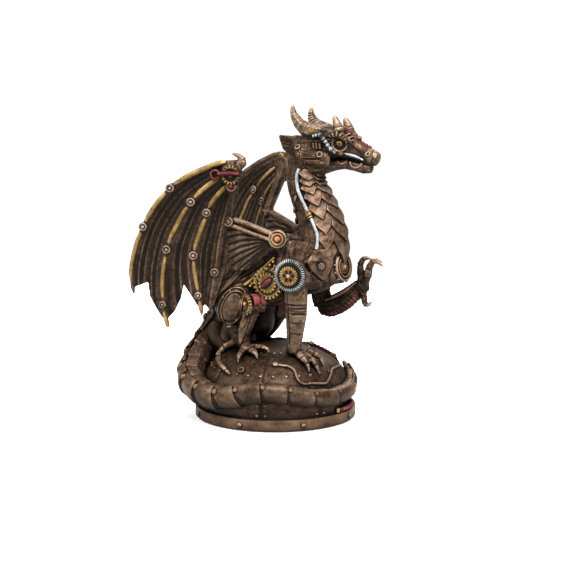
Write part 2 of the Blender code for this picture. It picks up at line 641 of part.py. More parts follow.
def wing_sheet_columns():
    """The lines that run from the wrist to the foot of the wing, from the leading finger inwards.

    Each gives its place at a share of its own length, and how far the rod stands proud there.
    """
    columns = []
    for number, finger in enumerate(FINGERS[:-1]):
        beyond = FINGERS[number + 1]
        hollow = 2.0 if number == len(FINGERS) - 2 else 8.0
        columns.append((lambda share, f=finger: rod_place(f, share * f[2], 1.0), 0.0))
        columns.append((lambda share, f=finger: rod_place(f, share, 0.0), 1.0))
        columns.append((lambda share, f=finger: rod_place(f, share * f[2], -1.0), 0.0))
        for aside, end in WEBS[number]:
            depth = hollow * aside * (1.0 - aside)

            def web(share, f=finger, b=beyond, aside=aside, end=end, depth=depth):
                place = rod_place(f, share * end, -1.0).lerp(rod_place(b, share * end, 1.0), aside)
                place.z -= depth * (0.2 + 0.8 * share)
                return place
            columns.append((web, 0.0))
    columns.append((lambda share: rod_place(FINGERS[-1], share, 0.0), 0.0))
    return columns


def wing_sheet_skin(side):
    """Membrane and finger rods in one sheet, scalloped at its foot and hollowed between rods."""
    rows = 10
    columns = wing_sheet_columns()
    top = []
    bottom = []
    for row in range(rows):
        share = 0.02 + 0.98 * row / (rows - 1)
        rise = min(1.0, 0.3 + 4.0 * share) * (1.0 - 0.55 * share) * UNIT
        for column, proud in columns:
            place = wing_place(side, *column(share))
            top.append(place + wing_out(side) * (0.5 * MEMBRANE + 2.2 * rise * proud))
            bottom.append(place - wing_out(side) * (0.5 * MEMBRANE + 1.2 * rise * proud))
    return sheet_skin(top, bottom, len(columns), rows)


def arm_web_skin(side, elbow, pivot):
    """The web of membrane that hangs from the upper arm."""
    foot = [(-21, 27, 57), (-16, 26.2, 53), (-9, 24.4, 54), (-1, 22.2, 60), (7.6, 20, 67)]
    rows = 3
    top = []
    bottom = []
    for row in range(rows):
        for column, (x, y, z) in enumerate(foot):
            head = elbow.lerp(pivot, 0.9 * column / (len(foot) - 1))
            ripple = 0.6 * UNIT * (1.0 if column % 2 else -1.0)
            place = head.lerp(at(x, side * y, z), row / (rows - 1)) + wing_out(side) * ripple
            top.append(place + 0.5 * MEMBRANE * wing_out(side))
            bottom.append(place - 0.5 * MEMBRANE * wing_out(side))
    return sheet_skin(top, bottom, len(foot), rows)


def build_wing(side, name):
    out = wing_out(side)
    forms = Forms(name, "sheet", wing_sheet_skin(side))
    for index, (finger, share) in enumerate(FINGER_JOINTS):
        back, high, set_out = finger_place(FINGERS[finger][0], share)[:3]
        forms.add("joint %d" % index, wheel([(3.0, -2.6), (2.6, 3.6)], wing_place(side, back, high, set_out), out, 6))
    elbow = at(-21.6, side * 25.5, 87.2)
    pivot = at(11, side * 17, 76)
    wrist = wing_place(side, 1.0, 126, 1.0)
    forms.add("forearm", tube([(elbow, 3.4), (elbow.lerp(wrist, 0.5), 3.8), (wrist, 4.6)], 6, 4, out))
    forms.add("wrist housing", wheel([(7.4, -4.0), (8.4, 2.0), (6.6, 3.4)], wing_place(side, 3.6, 120.6, 0.0), out, 8))
    forms.add("thumb", tube(
        [(wing_place(side, 2.0, 122.6, 1.0), 3.4), (wing_place(side, -4.4, 129.4, 1.2), 3.4)], 6, 3, out))
    forms.add("thumb claw", tube(
        [(wing_place(side, -3.9, 127.6, 1.2), 3.2), (wing_place(side, -3.8, 131.4, 1.2), 2.6),
         (wing_place(side, -0.6, 133.8, 1.2), 1.8), (wing_place(side, 3.2, 134.8, 1.2), 0.7)], 6, 4, out))
    for label, offset in (("lower", -2.5), ("upper", 2.5)):
        lift = UP * offset * UNIT
        forms.add(label + " arm bar", tube(
            [(elbow + 0.8 * lift, 2.2, 2.2), (elbow.lerp(pivot, 0.5) + lift, 2.0, 2.0), (pivot + 0.7 * lift, 2.2, 2.2)],
            6, 3, out))
    forms.add("elbow pin", wheel([(3.4, -4.0), (3.0, 4.4)], elbow, out, 6))
    forms.add("pivot", turned(
        [(PIVOT_RADIUS, 0.0), (PIVOT_RADIUS, 1.1 * PIVOT_THICKNESS), (0.7 * PIVOT_RADIUS, PIVOT_THICKNESS),
         (0.5 * PIVOT_RADIUS, 1.35 * PIVOT_THICKNESS)], at(11, side * 14.4, 76), Vector((0.35, side, 0.0)), 10))
    forms.add("arm web", arm_web_skin(side, elbow, pivot))
    cutters = [guide_object(name + " torso seat", torso_skin(CLEARANCE)),
               guide_object(name + " shoulder seat", wing_shoulder(side, CLEARANCE))]
    return forms.unite(finish_material(name + " bronze", (0.15, 0.09, 0.06), 0.6, 0.45), 0.62, cutters)


def main():
    clear_scene()
    build_plinth()
    build_dragon()
    build_wing(RIGHT, "right_wing")
    build_wing(LEFT, "left_wing")


main()
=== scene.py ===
"""Looks of the dragon statuette: a cast dragon with clockwork armour on a round domed plinth.

Metres, +Z up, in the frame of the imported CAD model: the dragon faces +X and its left side is +Y.
Places on the figure are given in parts of its height, above the dome's crown.
"""
import math

import bpy
import numpy as np
from mathutils import Matrix, Vector
from mathutils.bvhtree import BVHTree
from mathutils.kdtree import KDTree


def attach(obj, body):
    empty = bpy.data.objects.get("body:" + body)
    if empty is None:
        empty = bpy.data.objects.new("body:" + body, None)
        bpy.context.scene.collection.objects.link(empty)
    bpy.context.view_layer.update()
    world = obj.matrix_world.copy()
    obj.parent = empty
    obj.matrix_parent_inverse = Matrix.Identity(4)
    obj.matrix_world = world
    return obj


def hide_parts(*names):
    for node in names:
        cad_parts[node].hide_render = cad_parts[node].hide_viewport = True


# Sizes
PLINTH_RADIUS = 0.056
RIM_HEIGHT = 0.008
BAND_SETBACK = 0.0025
BAND_TOP = 0.020
DOME_SETBACK = 0.0040
DOME_TOP = 0.0505
FIGURE_HEIGHT = 0.1665
FIGURE_PARTS = 167.0
UNIT = FIGURE_HEIGHT / FIGURE_PARTS
# How far beside and above the figure a place on its skin is sought from, in parts
BESIDE = 60.0
ABOVE = 180.0
RIGHT = -1
LEFT = 1
HAND = {RIGHT: "right", LEFT: "left"}
FACE = {1: "outer", -1: "inner"}
TURN = 2.0 * math.pi
UP = Vector((0.0, 0.0, 1.0))
LATERAL = Vector((0.0, 1.0, 0.0))


def at(x, y, z):
    """A place on the figure, in parts of its height above the dome's crown."""
    return Vector((x * UNIT, y * UNIT, DOME_TOP + z * UNIT))


def on_dome(x, y, above=0.0):
    """A place over the dome, with its height above the dome in parts."""
    share = min(1.0, math.hypot(x, y) * UNIT / (PLINTH_RADIUS - DOME_SETBACK))
    height = BAND_TOP + (DOME_TOP - BAND_TOP) * math.sqrt(1.0 - share * share)
    return Vector((x * UNIT, y * UNIT, height + above * UNIT))


def round_plinth(degrees, out, up):
    """A place beside the plinth: out from its rim and up from its band, in parts."""
    angle = math.radians(degrees)
    radius = PLINTH_RADIUS + out * UNIT
    return Vector((radius * math.cos(angle), radius * math.sin(angle), BAND_TOP + up * UNIT))


# Working tools

def choose(*pieces):
    """Selects these pieces and nothing else; the first is the active one."""
    if bpy.context.mode != "OBJECT":
        bpy.ops.object.mode_set(mode="OBJECT")
    bpy.ops.object.select_all(action="DESELECT")
    for piece in pieces:
        piece.select_set(True)
    bpy.context.view_layer.objects.active = pieces[0]


def settle(piece):
    """Puts the piece's place into its mesh and leaves its object at the origin."""
    choose(piece)
    bpy.ops.object.transform_apply(location=True, rotation=True, scale=True)
    return piece


def stand(piece, centre, axis, spin=0.0):
    """Stands a piece that was made round the origin at a place, with its Z along the axis."""
    turn = axis.normalized().to_track_quat("Z", "Y").to_matrix().to_4x4()
    piece.matrix_world = Matrix.Translation(centre) @ turn @ Matrix.Rotation(spin, 4, "Z")
    return settle(piece)


def join(name, pieces):
    """One piece from several."""
    choose(*pieces)
    bpy.ops.object.join()
    piece = bpy.context.view_layer.objects.active
    piece.name = name
    piece.data.name = name
    return piece


def finish(piece, name, material, angle=40.0):
    """Names the piece, gives it its material and sets it on the statuette."""
    piece.name = name
    piece.data.name = name
    piece.data.materials.clear()
    piece.data.materials.append(material)
    choose(piece)
    bpy.ops.object.shade_smooth_by_angle(angle=math.radians(angle))
    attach(piece, "root")
    return piece


def set_on(pieces, name, material, angle=40.0):
    """Makes one piece of several and finishes it."""
    return finish(join(name, pieces), name, material, angle)


def apply_all(piece):
    choose(piece)
    for modifier in list(piece.modifiers):
        bpy.ops.object.modifier_apply(modifier=modifier.name)
    return piece


def turned(profile, vertices=24):
    """A round form drawn up from a disc step by step: (radius, height) in parts, from the back."""
    radius, height = profile[0]
    bpy.ops.mesh.primitive_circle_add(vertices=vertices, radius=radius * UNIT, fill_type="NGON",
                                      location=(0.0, 0.0, height * UNIT))
    piece = settle(bpy.context.object)
    bpy.ops.object.mode_set(mode="EDIT")
    bpy.ops.mesh.select_all(action="SELECT")
    for wide, high in profile[1:]:
        bpy.ops.mesh.extrude_region_move(
            TRANSFORM_OT_translate={"value": (0.0, 0.0, (high - height) * UNIT)})
        bpy.ops.transform.resize(value=(wide / radius, wide / radius, 1.0), center_override=(0.0, 0.0, 0.0))
        radius, height = wide, high
    bpy.ops.mesh.select_all(action="SELECT")
    bpy.ops.mesh.normals_make_consistent(inside=False)
    bpy.ops.object.mode_set(mode="OBJECT")
    return piece


def boss(profile, vertices, centre, axis, spin=0.0):
    """A turned form stood at its place."""
    return stand(turned(profile, vertices), centre, axis, spin)


def rod(points, radii, sides=4, closed=False, steps=4):
    """A smooth rod through a list of places; radii is one radius or one for each place, in parts."""
    curve = bpy.data.curves.new("rod", "CURVE")
    curve.dimensions = "3D"
    curve.bevel_depth = UNIT
    curve.bevel_resolution = sides
    curve.resolution_u = steps
    curve.use_fill_caps = not closed
    spline = curve.splines.new("BEZIER")
    spline.bezier_points.add(len(points) - 1)
    spline.use_cyclic_u = closed
    for index, point in enumerate(points):
        knot = spline.bezier_points[index]
        knot.co = point
        knot.handle_left_type = knot.handle_right_type = "AUTO"
        knot.radius = radii[index] if isinstance(radii, (list, tuple)) else radii
    piece = bpy.data.objects.new("rod", curve)
    bpy.context.scene.collection.objects.link(piece)
    choose(piece)
    bpy.ops.object.convert(target="MESH")
    return bpy.context.view_layer.objects.active


def ring(centre, axis, radius, thick, around=28, across=8):
    bpy.ops.mesh.primitive_torus_add(major_radius=radius * UNIT, minor_radius=thick * UNIT,
                                     major_segments=around, minor_segments=across)
    return stand(bpy.context.object, centre, axis)


def rivet(centre, axis, radius, height=0.55):
    """A domed rivet head, a little sunk."""
    return boss([(radius, -1.0), (radius, 0.25 * height * radius), (0.82 * radius, 0.75 * height * radius),
                         (0.4 * radius, height * radius)], 12, centre, axis)


def gear(teeth, root, tip, thick, hub=0.35):
    """A toothed wheel lying flat round the origin; with a hub, its face is dished and the hub raised."""
    bpy.ops.mesh.primitive_cylinder_add(vertices=4 * teeth, radius=root * UNIT, depth=thick * UNIT)
    piece = bpy.context.object
    bpy.ops.object.mode_set(mode="EDIT")
    bpy.ops.mesh.select_all(action="DESELECT")
    bpy.ops.object.mode_set(mode="OBJECT")
    for face in piece.data.polygons:
        angle = math.atan2(face.center.y, face.center.x) % TURN
        face.select = abs(face.normal.z) < 0.5 and int(angle / TURN * 4 * teeth) % 4 < 2
    bpy.ops.object.mode_set(mode="EDIT")
    bpy.ops.mesh.select_mode(type="FACE")
    bpy.ops.mesh.extrude_region_move()
    bpy.ops.transform.resize(value=(tip / root, tip / root, 1.0), center_override=(0.0, 0.0, 0.0))
    bpy.ops.mesh.select_all(action="DESELECT")
    bpy.ops.object.mode_set(mode="OBJECT")
    for face in piece.data.polygons:
        face.select = face.normal.z > 0.9 and len(face.vertices) > 8
    bpy.ops.object.mode_set(mode="EDIT")
    bpy.ops.mesh.inset(thickness=0.10 * root * UNIT)
    if hub:
        bpy.ops.mesh.extrude_region_move(TRANSFORM_OT_translate={"value": (0.0, 0.0, -0.10 * thick * UNIT)})
        bpy.ops.mesh.inset(thickness=0.03 * root * UNIT)
        bpy.ops.mesh.inset(thickness=(0.82 - hub) * root * UNIT)
        bpy.ops.mesh.inset(thickness=0.03 * root * UNIT)
        bpy.ops.mesh.extrude_region_move(TRANSFORM_OT_translate={"value": (0.0, 0.0, 0.45 * thick * UNIT)})
    bpy.ops.object.mode_set(mode="OBJECT")
    return piece


def laid_sheet(columns, rows, place):
    """A sheet whose points are put by place(across, along), both from 0 to 1."""
    bpy.ops.mesh.primitive_grid_add(x_subdivisions=columns, y_subdivisions=rows, size=1.0)
    piece = bpy.context.object
    for vertex in piece.data.vertices:
        vertex.co = place(vertex.co.x + 0.5, vertex.co.y + 0.5)
    return piece


def thickened(piece, thick, round_edge, outwards):
    """Gives a sheet its thickness inwards from the laid face, and rounds its edges."""
    middle = piece.data.polygons[len(piece.data.polygons) // 2]
    if middle.normal.dot(outwards) < 0.0:
        choose(piece)
        bpy.ops.object.mode_set(mode="EDIT")
        bpy.ops.mesh.select_all(action="SELECT")
        bpy.ops.mesh.flip_normals()
        bpy.ops.object.mode_set(mode="OBJECT")
    solid = piece.modifiers.new("thickness", "SOLIDIFY")
    solid.thickness = thick * UNIT
    solid.offset = -1.0
    edge = piece.modifiers.new("edge", "BEVEL")
    edge.width = round_edge * UNIT
    edge.segments = 2
    edge.limit_method = "ANGLE"
    edge.angle_limit = math.radians(50.0)
    return apply_all(piece)


def curved(before, low, high, after, share):
    """Catmull-Rom curve between two values."""
    return 0.5 * (2.0 * low + (high - before) * share
                  + (2.0 * before - 5.0 * low + 4.0 * high - after) * share ** 2
                  + (3.0 * (low - high) + after - before) * share ** 3)


def read_curve(values, u):
    """The value at u along a smooth curve through a list, one step for each value."""
    last = len(values) - 1
    index = min(int(u), last - 1)
    return curved(values[max(index - 1, 0)], values[index], values[index + 1],
                  values[min(index + 2, last)], u - index)


class Limb:
    """The form of a limb: a path of places with two half widths, across and in depth."""

    def __init__(self, stations, across=LATERAL):
        self.places = [station[0] for station in stations]
        self.widths = [station[1] * UNIT for station in stations]
        self.depths = [station[-1] * UNIT for station in stations]
        self.across = across
        self.length = len(stations) - 1

    def surface(self, u, degrees, lift=0.0):
        u = min(max(u, 0.0), self.length)
        centre = read_curve(self.places, u)
        ahead = (read_curve(self.places, min(u + 0.02, self.length))
                 - read_curve(self.places, max(u - 0.02, 0.0))).normalized()
        side = self.across(centre) if callable(self.across) else self.across
        side = (side - side.dot(ahead) * ahead).normalized()
        depth = ahead.cross(side)
        angle = math.radians(degrees)
        return (centre + side * (read_curve(self.widths, u) + lift * UNIT) * math.cos(angle)
                + depth * (read_curve(self.depths, u) + lift * UNIT) * math.sin(angle))

    def outwards(self, u, degrees):
        return (self.surface(u, degrees, 5.0) - self.surface(u, degrees, 0.0)).normalized()

    def scale(self, along, around, lifts, point=0.0, columns=8, rows=5, thick=1.8, round_edge=0.35,
              flare=0.0):
        """A plate that follows the limb: its ranges, its lift at both ends and how far it is pointed."""
        def place(across, share):
            pull = point * (1.0 - abs(2.0 * across - 1.0)) * share
            u = along[0] + (along[1] - along[0]) * share + pull
            lift = lifts[0] + (lifts[1] - lifts[0]) * share
            spread = (across - 0.5) * (1.0 - flare * abs(1.0 - 2.0 * share))
            return self.surface(u, 0.5 * sum(around) + (around[1] - around[0]) * spread, lift)
        piece = laid_sheet(columns, rows, place)
        return thickened(piece, thick, round_edge, self.outwards(0.5 * sum(along), 0.5 * sum(around)))


class Casting:
    """Finds places on the dragon's own skin from the side or above."""

    def __init__(self, piece):
        self.piece = piece
        self.skin = BVHTree.FromObject(piece, bpy.context.evaluated_depsgraph_get())

    def meet(self, start, heading, lift=0.0):
        place, normal = self.skin.ray_cast(start, heading)[:2]
        if place is None:
            place, normal = self.skin.find_nearest(start)[:2]
        return place + normal * lift * UNIT, normal

    def side(self, side, x, z, lift=0.0):
        return self.meet(at(x, side * BESIDE, z), Vector((0.0, -side, 0.0)), lift)

    def top(self, x, y, lift=0.0):
        return self.meet(at(x, y, ABOVE), Vector((0.0, 0.0, -1.0)), lift)

    def line(self, side, places, lift):
        """Places along the side, each given as (x, z)."""
        return [self.side(side, x, z, lift)[0] for x, z in places]

    def plate(self, side, corners, lift=1.0, round_edge=0.3, fine=1.6):
        """An armour plate laid on the dragon's side; its corners (x, z) go round a convex outline."""
        middle = [sum(corner[axis] for corner in corners) / len(corners) for axis in (0, 1)]
        reach = 2.2 * max(math.dist(middle, corner) for corner in corners)
        cells = max(4, int(reach / fine))
        bpy.ops.mesh.primitive_grid_add(x_subdivisions=cells, y_subdivisions=cells, size=reach * UNIT,
                                        location=at(middle[0], side * BESIDE, middle[1]),
                                        rotation=(side * -0.25 * TURN, 0.0, 0.0))
        piece = settle(bpy.context.object)
        bpy.ops.object.mode_set(mode="EDIT")
        for index, (x, z) in enumerate(corners):
            over_x = corners[(index + 1) % len(corners)][0] - x
            over_z = corners[(index + 1) % len(corners)][1] - z
            away = Vector((over_z, 0.0, -over_x))
            if away.dot(Vector((x - middle[0], 0.0, z - middle[1]))) < 0.0:
                away = -away
            bpy.ops.mesh.select_all(action="SELECT")
            bpy.ops.mesh.bisect(plane_co=at(x, side * BESIDE, z), plane_no=away.normalized(),
                                clear_outer=True)
        bpy.ops.object.mode_set(mode="OBJECT")
        wrap = piece.modifiers.new("laid on", "SHRINKWRAP")
        wrap.target = self.piece
        wrap.wrap_method = "PROJECT"
        wrap.use_project_y = True
        wrap.use_positive_direction = side == RIGHT
        wrap.use_negative_direction = side == LEFT
        wrap.offset = lift * UNIT
        apply_all(piece)
        return thickened(piece, lift + 1.2, round_edge, Vector((0.0, side, 0.0)))

    def rivets(self, side, places, radius, lift=0.0):
        return [rivet(*self.side(side, x, z, lift), radius) for x, z in places]


def ribbed(points, radius, pitch=1.6, waist=0.72):
    """A ribbed hose through a list of places: its radius swells and narrows along it, in parts."""
    length = sum((points[index + 1] - points[index]).length for index in range(len(points) - 1)) / UNIT
    count = max(6, int(2.0 * length / pitch))
    places = [read_curve(points, (len(points) - 1) * index / count) for index in range(count + 1)]
    return rod(places, [radius * (waist if index % 2 else 1.0) for index in range(count + 1)], 3, steps=2)


# Materials

# How strong and high the cast grain stands, in metres, and how much plain gloss the castings have
GRAIN_STRENGTH = 0.4
GRAIN_HEIGHT = 0.0004
SHEEN = 0.10


def link(tree, source, target):
    tree.links.new(source, target)


def math_node(tree, operation, first, second=None, clamp=False):
    node = tree.nodes.new("ShaderNodeMath")
    node.operation = operation
    node.use_clamp = clamp
    for index, value in enumerate((first, second)):
        if value is None:
            continue
        if isinstance(value, (int, float)):
            node.inputs[index].default_value = value
        else:
            link(tree, value, node.inputs[index])
    return node.outputs[0]


def ranged(tree, value, low, high, to_low=0.0, to_high=1.0):
    node = tree.nodes.new("ShaderNodeMapRange")
    node.inputs["From Min"].default_value = low
    node.inputs["From Max"].default_value = high
    node.inputs["To Min"].default_value = to_low
    node.inputs["To Max"].default_value = to_high
    link(tree, value, node.inputs["Value"])
    return node.outputs["Result"]


def mixed(tree, share, first, second):
    node = tree.nodes.new("ShaderNodeMix")
    node.data_type = "RGBA"
    if isinstance(share, (int, float)):
        node.inputs["Factor"].default_value = share
    else:
        link(tree, share, node.inputs["Factor"])
    for socket, value in ((node.inputs["A"], first), (node.inputs["B"], second)):
        if isinstance(value, tuple):
            socket.default_value = (*value, 1.0)
        else:
            link(tree, value, socket)
    return node.outputs["Result"]


def noise(tree, scale, detail=3.0, rough=0.5):
    place = tree.nodes.new("ShaderNodeTexCoord")
    node = tree.nodes.new("ShaderNodeTexNoise")
    node.inputs["Scale"].default_value = scale
    node.inputs["Detail"].default_value = detail
    node.inputs["Roughness"].default_value = rough
    link(tree, place.outputs["Object"], node.inputs["Vector"])
    return node.outputs["Fac"]


def patina_group():
    """Cast patina: dark wash in the grooves, painted shade in the recesses, creases and on downward sides,
    rubbed paint on the raised edges where they are lit, partly a painted highlight, fine cast grain.
    """
    tree = bpy.data.node_groups.new("Rubbed patina", "ShaderNodeTree")
    for name, kind in (("Wash_and_shade", "Color"), ("Body", "Color"), ("Rubbed", "Color"), ("Rub", "Float"),
                       ("Seams", "Float")):
        tree.interface.new_socket(name=name, in_out="INPUT", socket_type="NodeSocket" + kind)
    for name, kind in (("Color", "Color"), ("Roughness", "Float"), ("Height", "Float")):
        tree.interface.new_socket(name=name, in_out="OUTPUT", socket_type="NodeSocket" + kind)
    source = tree.nodes.new("NodeGroupInput").outputs
    result = tree.nodes.new("NodeGroupOutput").inputs
    geometry = tree.nodes.new("ShaderNodeNewGeometry")
    painted = tree.nodes.new("ShaderNodeAttribute")
    painted.attribute_name = "wash_and_shade"
    lean = tree.nodes.new("ShaderNodeSeparateXYZ")
    link(tree, geometry.outputs["Normal"], lean.inputs["Vector"])
    # The wash attribute darkens the colour: dark wash in grooves, and painted shade in folds, hollows and
    # shaded parts
    unshaded = math_node(tree, "SUBTRACT", 1.0, painted.outputs["Fac"], clamp=True)
    # Painted shade: ambient occlusion darkens the colour in seams, recesses and where parts shade each other,
    # at a small and a large reach
    for reach, low, high in ((0.0022, 0.52, 0.98), (0.016, 0.34, 0.90)):
        ambient_shade = tree.nodes.new("ShaderNodeAmbientOcclusion")
        ambient_shade.samples = 5
        ambient_shade.inputs["Distance"].default_value = reach
        unshaded = math_node(tree, "MULTIPLY", unshaded, ranged(tree, ambient_shade.outputs["AO"], low, high))
    # Painted shade: surfaces that face down are darker
    unshaded = math_node(tree, "MULTIPLY", unshaded, ranged(tree, lean.outputs["Z"], -0.7, 0.35, 0.30, 1.0))
    place = tree.nodes.new("ShaderNodeTexCoord")
    panels = tree.nodes.new("ShaderNodeTexVoronoi")
    panels.feature = "DISTANCE_TO_EDGE"
    panels.inputs["Scale"].default_value = 165.0
    panels.inputs["Randomness"].default_value = 0.75
    link(tree, place.outputs["Object"], panels.inputs["Vector"])
    seam = ranged(tree, panels.outputs["Distance"], 0.015, 0.075, 1.0, 0.0)
    seam = math_node(tree, "MULTIPLY", seam, source["Seams"])
    unshaded = math_node(tree, "MULTIPLY", unshaded, math_node(tree, "SUBTRACT", 1.0, seam, clamp=True))
    # Painted shade in concave creases
    crease_shade = ranged(tree, geometry.outputs["Pointiness"], 0.44, 0.495)
    lit = math_node(tree, "MULTIPLY", unshaded, crease_shade, clamp=True)
    broad = noise(tree, 60.0, 4.0, 0.65)
    fine = noise(tree, 480.0, 3.0, 0.65)
    edge = ranged(tree, geometry.outputs["Pointiness"], 0.508, 0.57)
    mottled = ranged(tree, broad, 0.38, 0.68, 0.2, 1.0)
    # Rubbed paint on the raised edges, only where no painted shade lies: partly wear, partly painted
    # highlight
    worn = math_node(tree, "MULTIPLY", math_node(tree, "MULTIPLY", edge, mottled),
                     ranged(tree, lit, 0.25, 0.8))
    rub = math_node(tree, "MULTIPLY", worn, source["Rub"], clamp=True)
    darken = noise(tree, 170.0, 4.0, 0.6)
    body = mixed(tree, ranged(tree, broad, 0.42, 0.74, 0.0, 0.30), source["Body"], source["Rubbed"])
    body = mixed(tree, ranged(tree, fine, 0.38, 0.56, 0.62, 0.0), body, source["Wash_and_shade"])
    body = mixed(tree, ranged(tree, darken, 0.34, 0.50, 0.70, 0.0), body, source["Wash_and_shade"])
    # Where painted shade lies the colour goes to the dark wash colour
    colour = mixed(tree, rub, mixed(tree, lit, source["Wash_and_shade"], body), source["Rubbed"])
    link(tree, colour, result["Color"])
    dull = math_node(tree, "MULTIPLY", math_node(tree, "SUBTRACT", 1.0, lit), 0.3)
    link(tree, math_node(tree, "ADD", ranged(tree, fine, 0.3, 0.7, 0.34, 0.5), dull), result["Roughness"])
    grain = math_node(tree, "ADD", math_node(tree, "MULTIPLY", broad, 0.5),
                      math_node(tree, "MULTIPLY", fine, 0.45))
    link(tree, math_node(tree, "SUBTRACT", grain, seam), result["Height"])
    return tree


PATINA = patina_group()


def cast_material(name, wash_and_shade, body, rubbed, rub=1.0, metallic=0.45, gilt=None, seams=0.0):
    """A painted casting; its first colour is the dark of the wash and of the painted shade; gilt names a
    second colour laid where the piece's paint attribute says.
    """
    material = bpy.data.materials.new(name)
    material.use_nodes = True
    tree = material.node_tree
    shader = tree.nodes["Principled BSDF"]
    shader.inputs["Metallic"].default_value = metallic
    shader.inputs["Specular IOR Level"].default_value = SHEEN
    coat = tree.nodes.new("ShaderNodeGroup")
    coat.node_tree = PATINA
    for socket, value in (("Wash_and_shade", (*wash_and_shade, 1.0)), ("Body", (*body, 1.0)), ("Rubbed", (*rubbed, 1.0)),
                          ("Rub", rub),
                          ("Seams", seams)):
        coat.inputs[socket].default_value = value
    if gilt:
        paint = tree.nodes.new("ShaderNodeAttribute")
        paint.attribute_name = "paint"
        link(tree, mixed(tree, paint.outputs["Fac"], body, gilt), coat.inputs["Body"])
        unpainted = math_node(tree, "SUBTRACT", 1.0, paint.outputs["Fac"], clamp=True)
        link(tree, math_node(tree, "MULTIPLY", unpainted, seams), coat.inputs["Seams"])
    link(tree, coat.outputs["Color"], shader.inputs["Base Color"])
    link(tree, coat.outputs["Roughness"], shader.inputs["Roughness"])
    relief = tree.nodes.new("ShaderNodeBump")
    relief.inputs["Strength"].default_value = GRAIN_STRENGTH
    relief.inputs["Distance"].default_value = GRAIN_HEIGHT
    link(tree, coat.outputs["Height"], relief.inputs["Height"])
    link(tree, relief.outputs["Normal"], shader.inputs["Normal"])
    return material


# The dark colour of the wash in grooves and of the painted shade in recesses and on undersides
WASH_AND_SHADE = (0.007, 0.0045, 0.003)
BRONZE = cast_material("rubbed bronze", WASH_AND_SHADE, (0.104, 0.058, 0.034), (0.46, 0.29, 0.185),
                       gilt=(0.27, 0.185, 0.122), seams=0.40)
PLATE_BRONZE = cast_material("plate bronze", WASH_AND_SHADE, (0.118, 0.068, 0.041), (0.50, 0.33, 0.215))
TAIL_BRONZE = cast_material("tail bronze", WASH_AND_SHADE, (0.037, 0.021, 0.012), (0.31, 0.19, 0.115))
SHADED_BRONZE = cast_material("shaded bronze", WASH_AND_SHADE, (0.022, 0.012, 0.007), (0.15, 0.09, 0.058))
# Its second colour is laid on the thumb and, as a painted highlight, on the ridges of the wing folds
WING_BRONZE = cast_material("wing bronze", WASH_AND_SHADE, (0.060, 0.035, 0.021), (0.34, 0.215, 0.14), metallic=0.35,
                            gilt=(0.22, 0.145, 0.098))
PLINTH_BRONZE = cast_material("plinth bronze", WASH_AND_SHADE, (0.050, 0.027, 0.016), (0.26, 0.155, 0.095), rub=0.9)
GILT = cast_material("worn gilding", (0.012, 0.008, 0.003), (0.19, 0.105, 0.028), (0.52, 0.34, 0.13),
                     metallic=0.4)
SILVER = cast_material("silver paint", (0.010, 0.012, 0.013), (0.18, 0.20, 0.21), (0.70, 0.73, 0.73),
                       metallic=0.3)
PIN = cast_material("worn pin", WASH_AND_SHADE, (0.12, 0.105, 0.09), (0.50, 0.47, 0.43), metallic=0.3)
RUBBER = cast_material("brushed tyre", (0.004, 0.005, 0.005), (0.30, 0.325, 0.325), (0.78, 0.81, 0.80),
                       metallic=0.1)
RED = cast_material("red enamel", (0.006, 0.002, 0.002), (0.085, 0.009, 0.011), (0.42, 0.10, 0.10),
                    metallic=0.2)
HOSE_RED = cast_material("worn red hose", (0.004, 0.0015, 0.0015), (0.042, 0.007, 0.007), (0.24, 0.075, 0.07),
                         metallic=0.2)
JEWEL = cast_material("red jewel", (0.04, 0.004, 0.003), (0.36, 0.045, 0.022), (0.80, 0.34, 0.22),
                      metallic=0.0)
# Near black: the pupils' own dark, and painted shade in holes, wells, slits and hollows
DARK = cast_material("dark wash", (0.003, 0.0025, 0.002), (0.010, 0.007, 0.005), (0.05, 0.035, 0.025),
                     rub=0.4, metallic=0.2)


# Casting skins

def figure_places(mesh):
    """The mesh's vertices in parts of the figure, as three arrays."""
    flat = np.empty(len(mesh.vertices) * 3)
    mesh.vertices.foreach_get("co", flat)
    flat = flat.reshape(-1, 3) / UNIT
    flat[:, 2] -= DOME_TOP / UNIT
    return flat


def move_vertices(mesh, places):
    """Writes places in parts of the figure back to the mesh."""
    flat = places.copy()
    flat[:, 2] += DOME_TOP / UNIT
    mesh.vertices.foreach_set("co", (flat * UNIT).ravel())
    mesh.update()


def vertex_normals(mesh):
    flat = np.empty(len(mesh.vertices) * 3)
    mesh.vertex_normals.foreach_get("vector", flat)
    return flat.reshape(-1, 3)


# The grain of the skins, in metres, and the gap below which vertices are one
HEAD_GRAIN = 0.00048
BODY_GRAIN = 0.00080
WING_GRAIN = 0.0007
MERGED = 0.000001


def casting(node, voxel, rounds, cut=None):
    """One smooth skin on the form of a CAD node: merged, remeshed evenly and softened.

    cut is (height in parts, keep the upper part), where a node is made in two skins.
    """
    skin = bpy.data.objects.new(node + "_casting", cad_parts[node].data.copy())
    bpy.context.scene.collection.objects.link(skin)
    choose(skin)
    bpy.ops.object.mode_set(mode="EDIT")
    bpy.ops.mesh.select_all(action="SELECT")
    bpy.ops.mesh.remove_doubles(threshold=MERGED)
    if cut:
        height, upper = cut
        bpy.ops.mesh.bisect(plane_co=at(0.0, 0.0, height), plane_no=UP, use_fill=True, clear_inner=upper,
                            clear_outer=not upper)
    bpy.ops.object.mode_set(mode="OBJECT")
    remesh = skin.modifiers.new("even", "REMESH")
    remesh.mode = "VOXEL"
    remesh.voxel_size = voxel
    soften = skin.modifiers.new("soften", "SMOOTH")
    soften.factor = 0.5
    soften.iterations = rounds
    apply_all(skin)
    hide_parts(node)
    return skin


def paint_on(mesh, name, values):
    """Keeps one value for each vertex, for the material to read."""
    layer = mesh.attributes.new(name, "FLOAT", "POINT")
    layer.data.foreach_set("value", np.clip(values, 0.0, 1.0))


def in_parts(place):
    return np.array([place.x / UNIT, place.y / UNIT, (place.z - DOME_TOP) / UNIT])


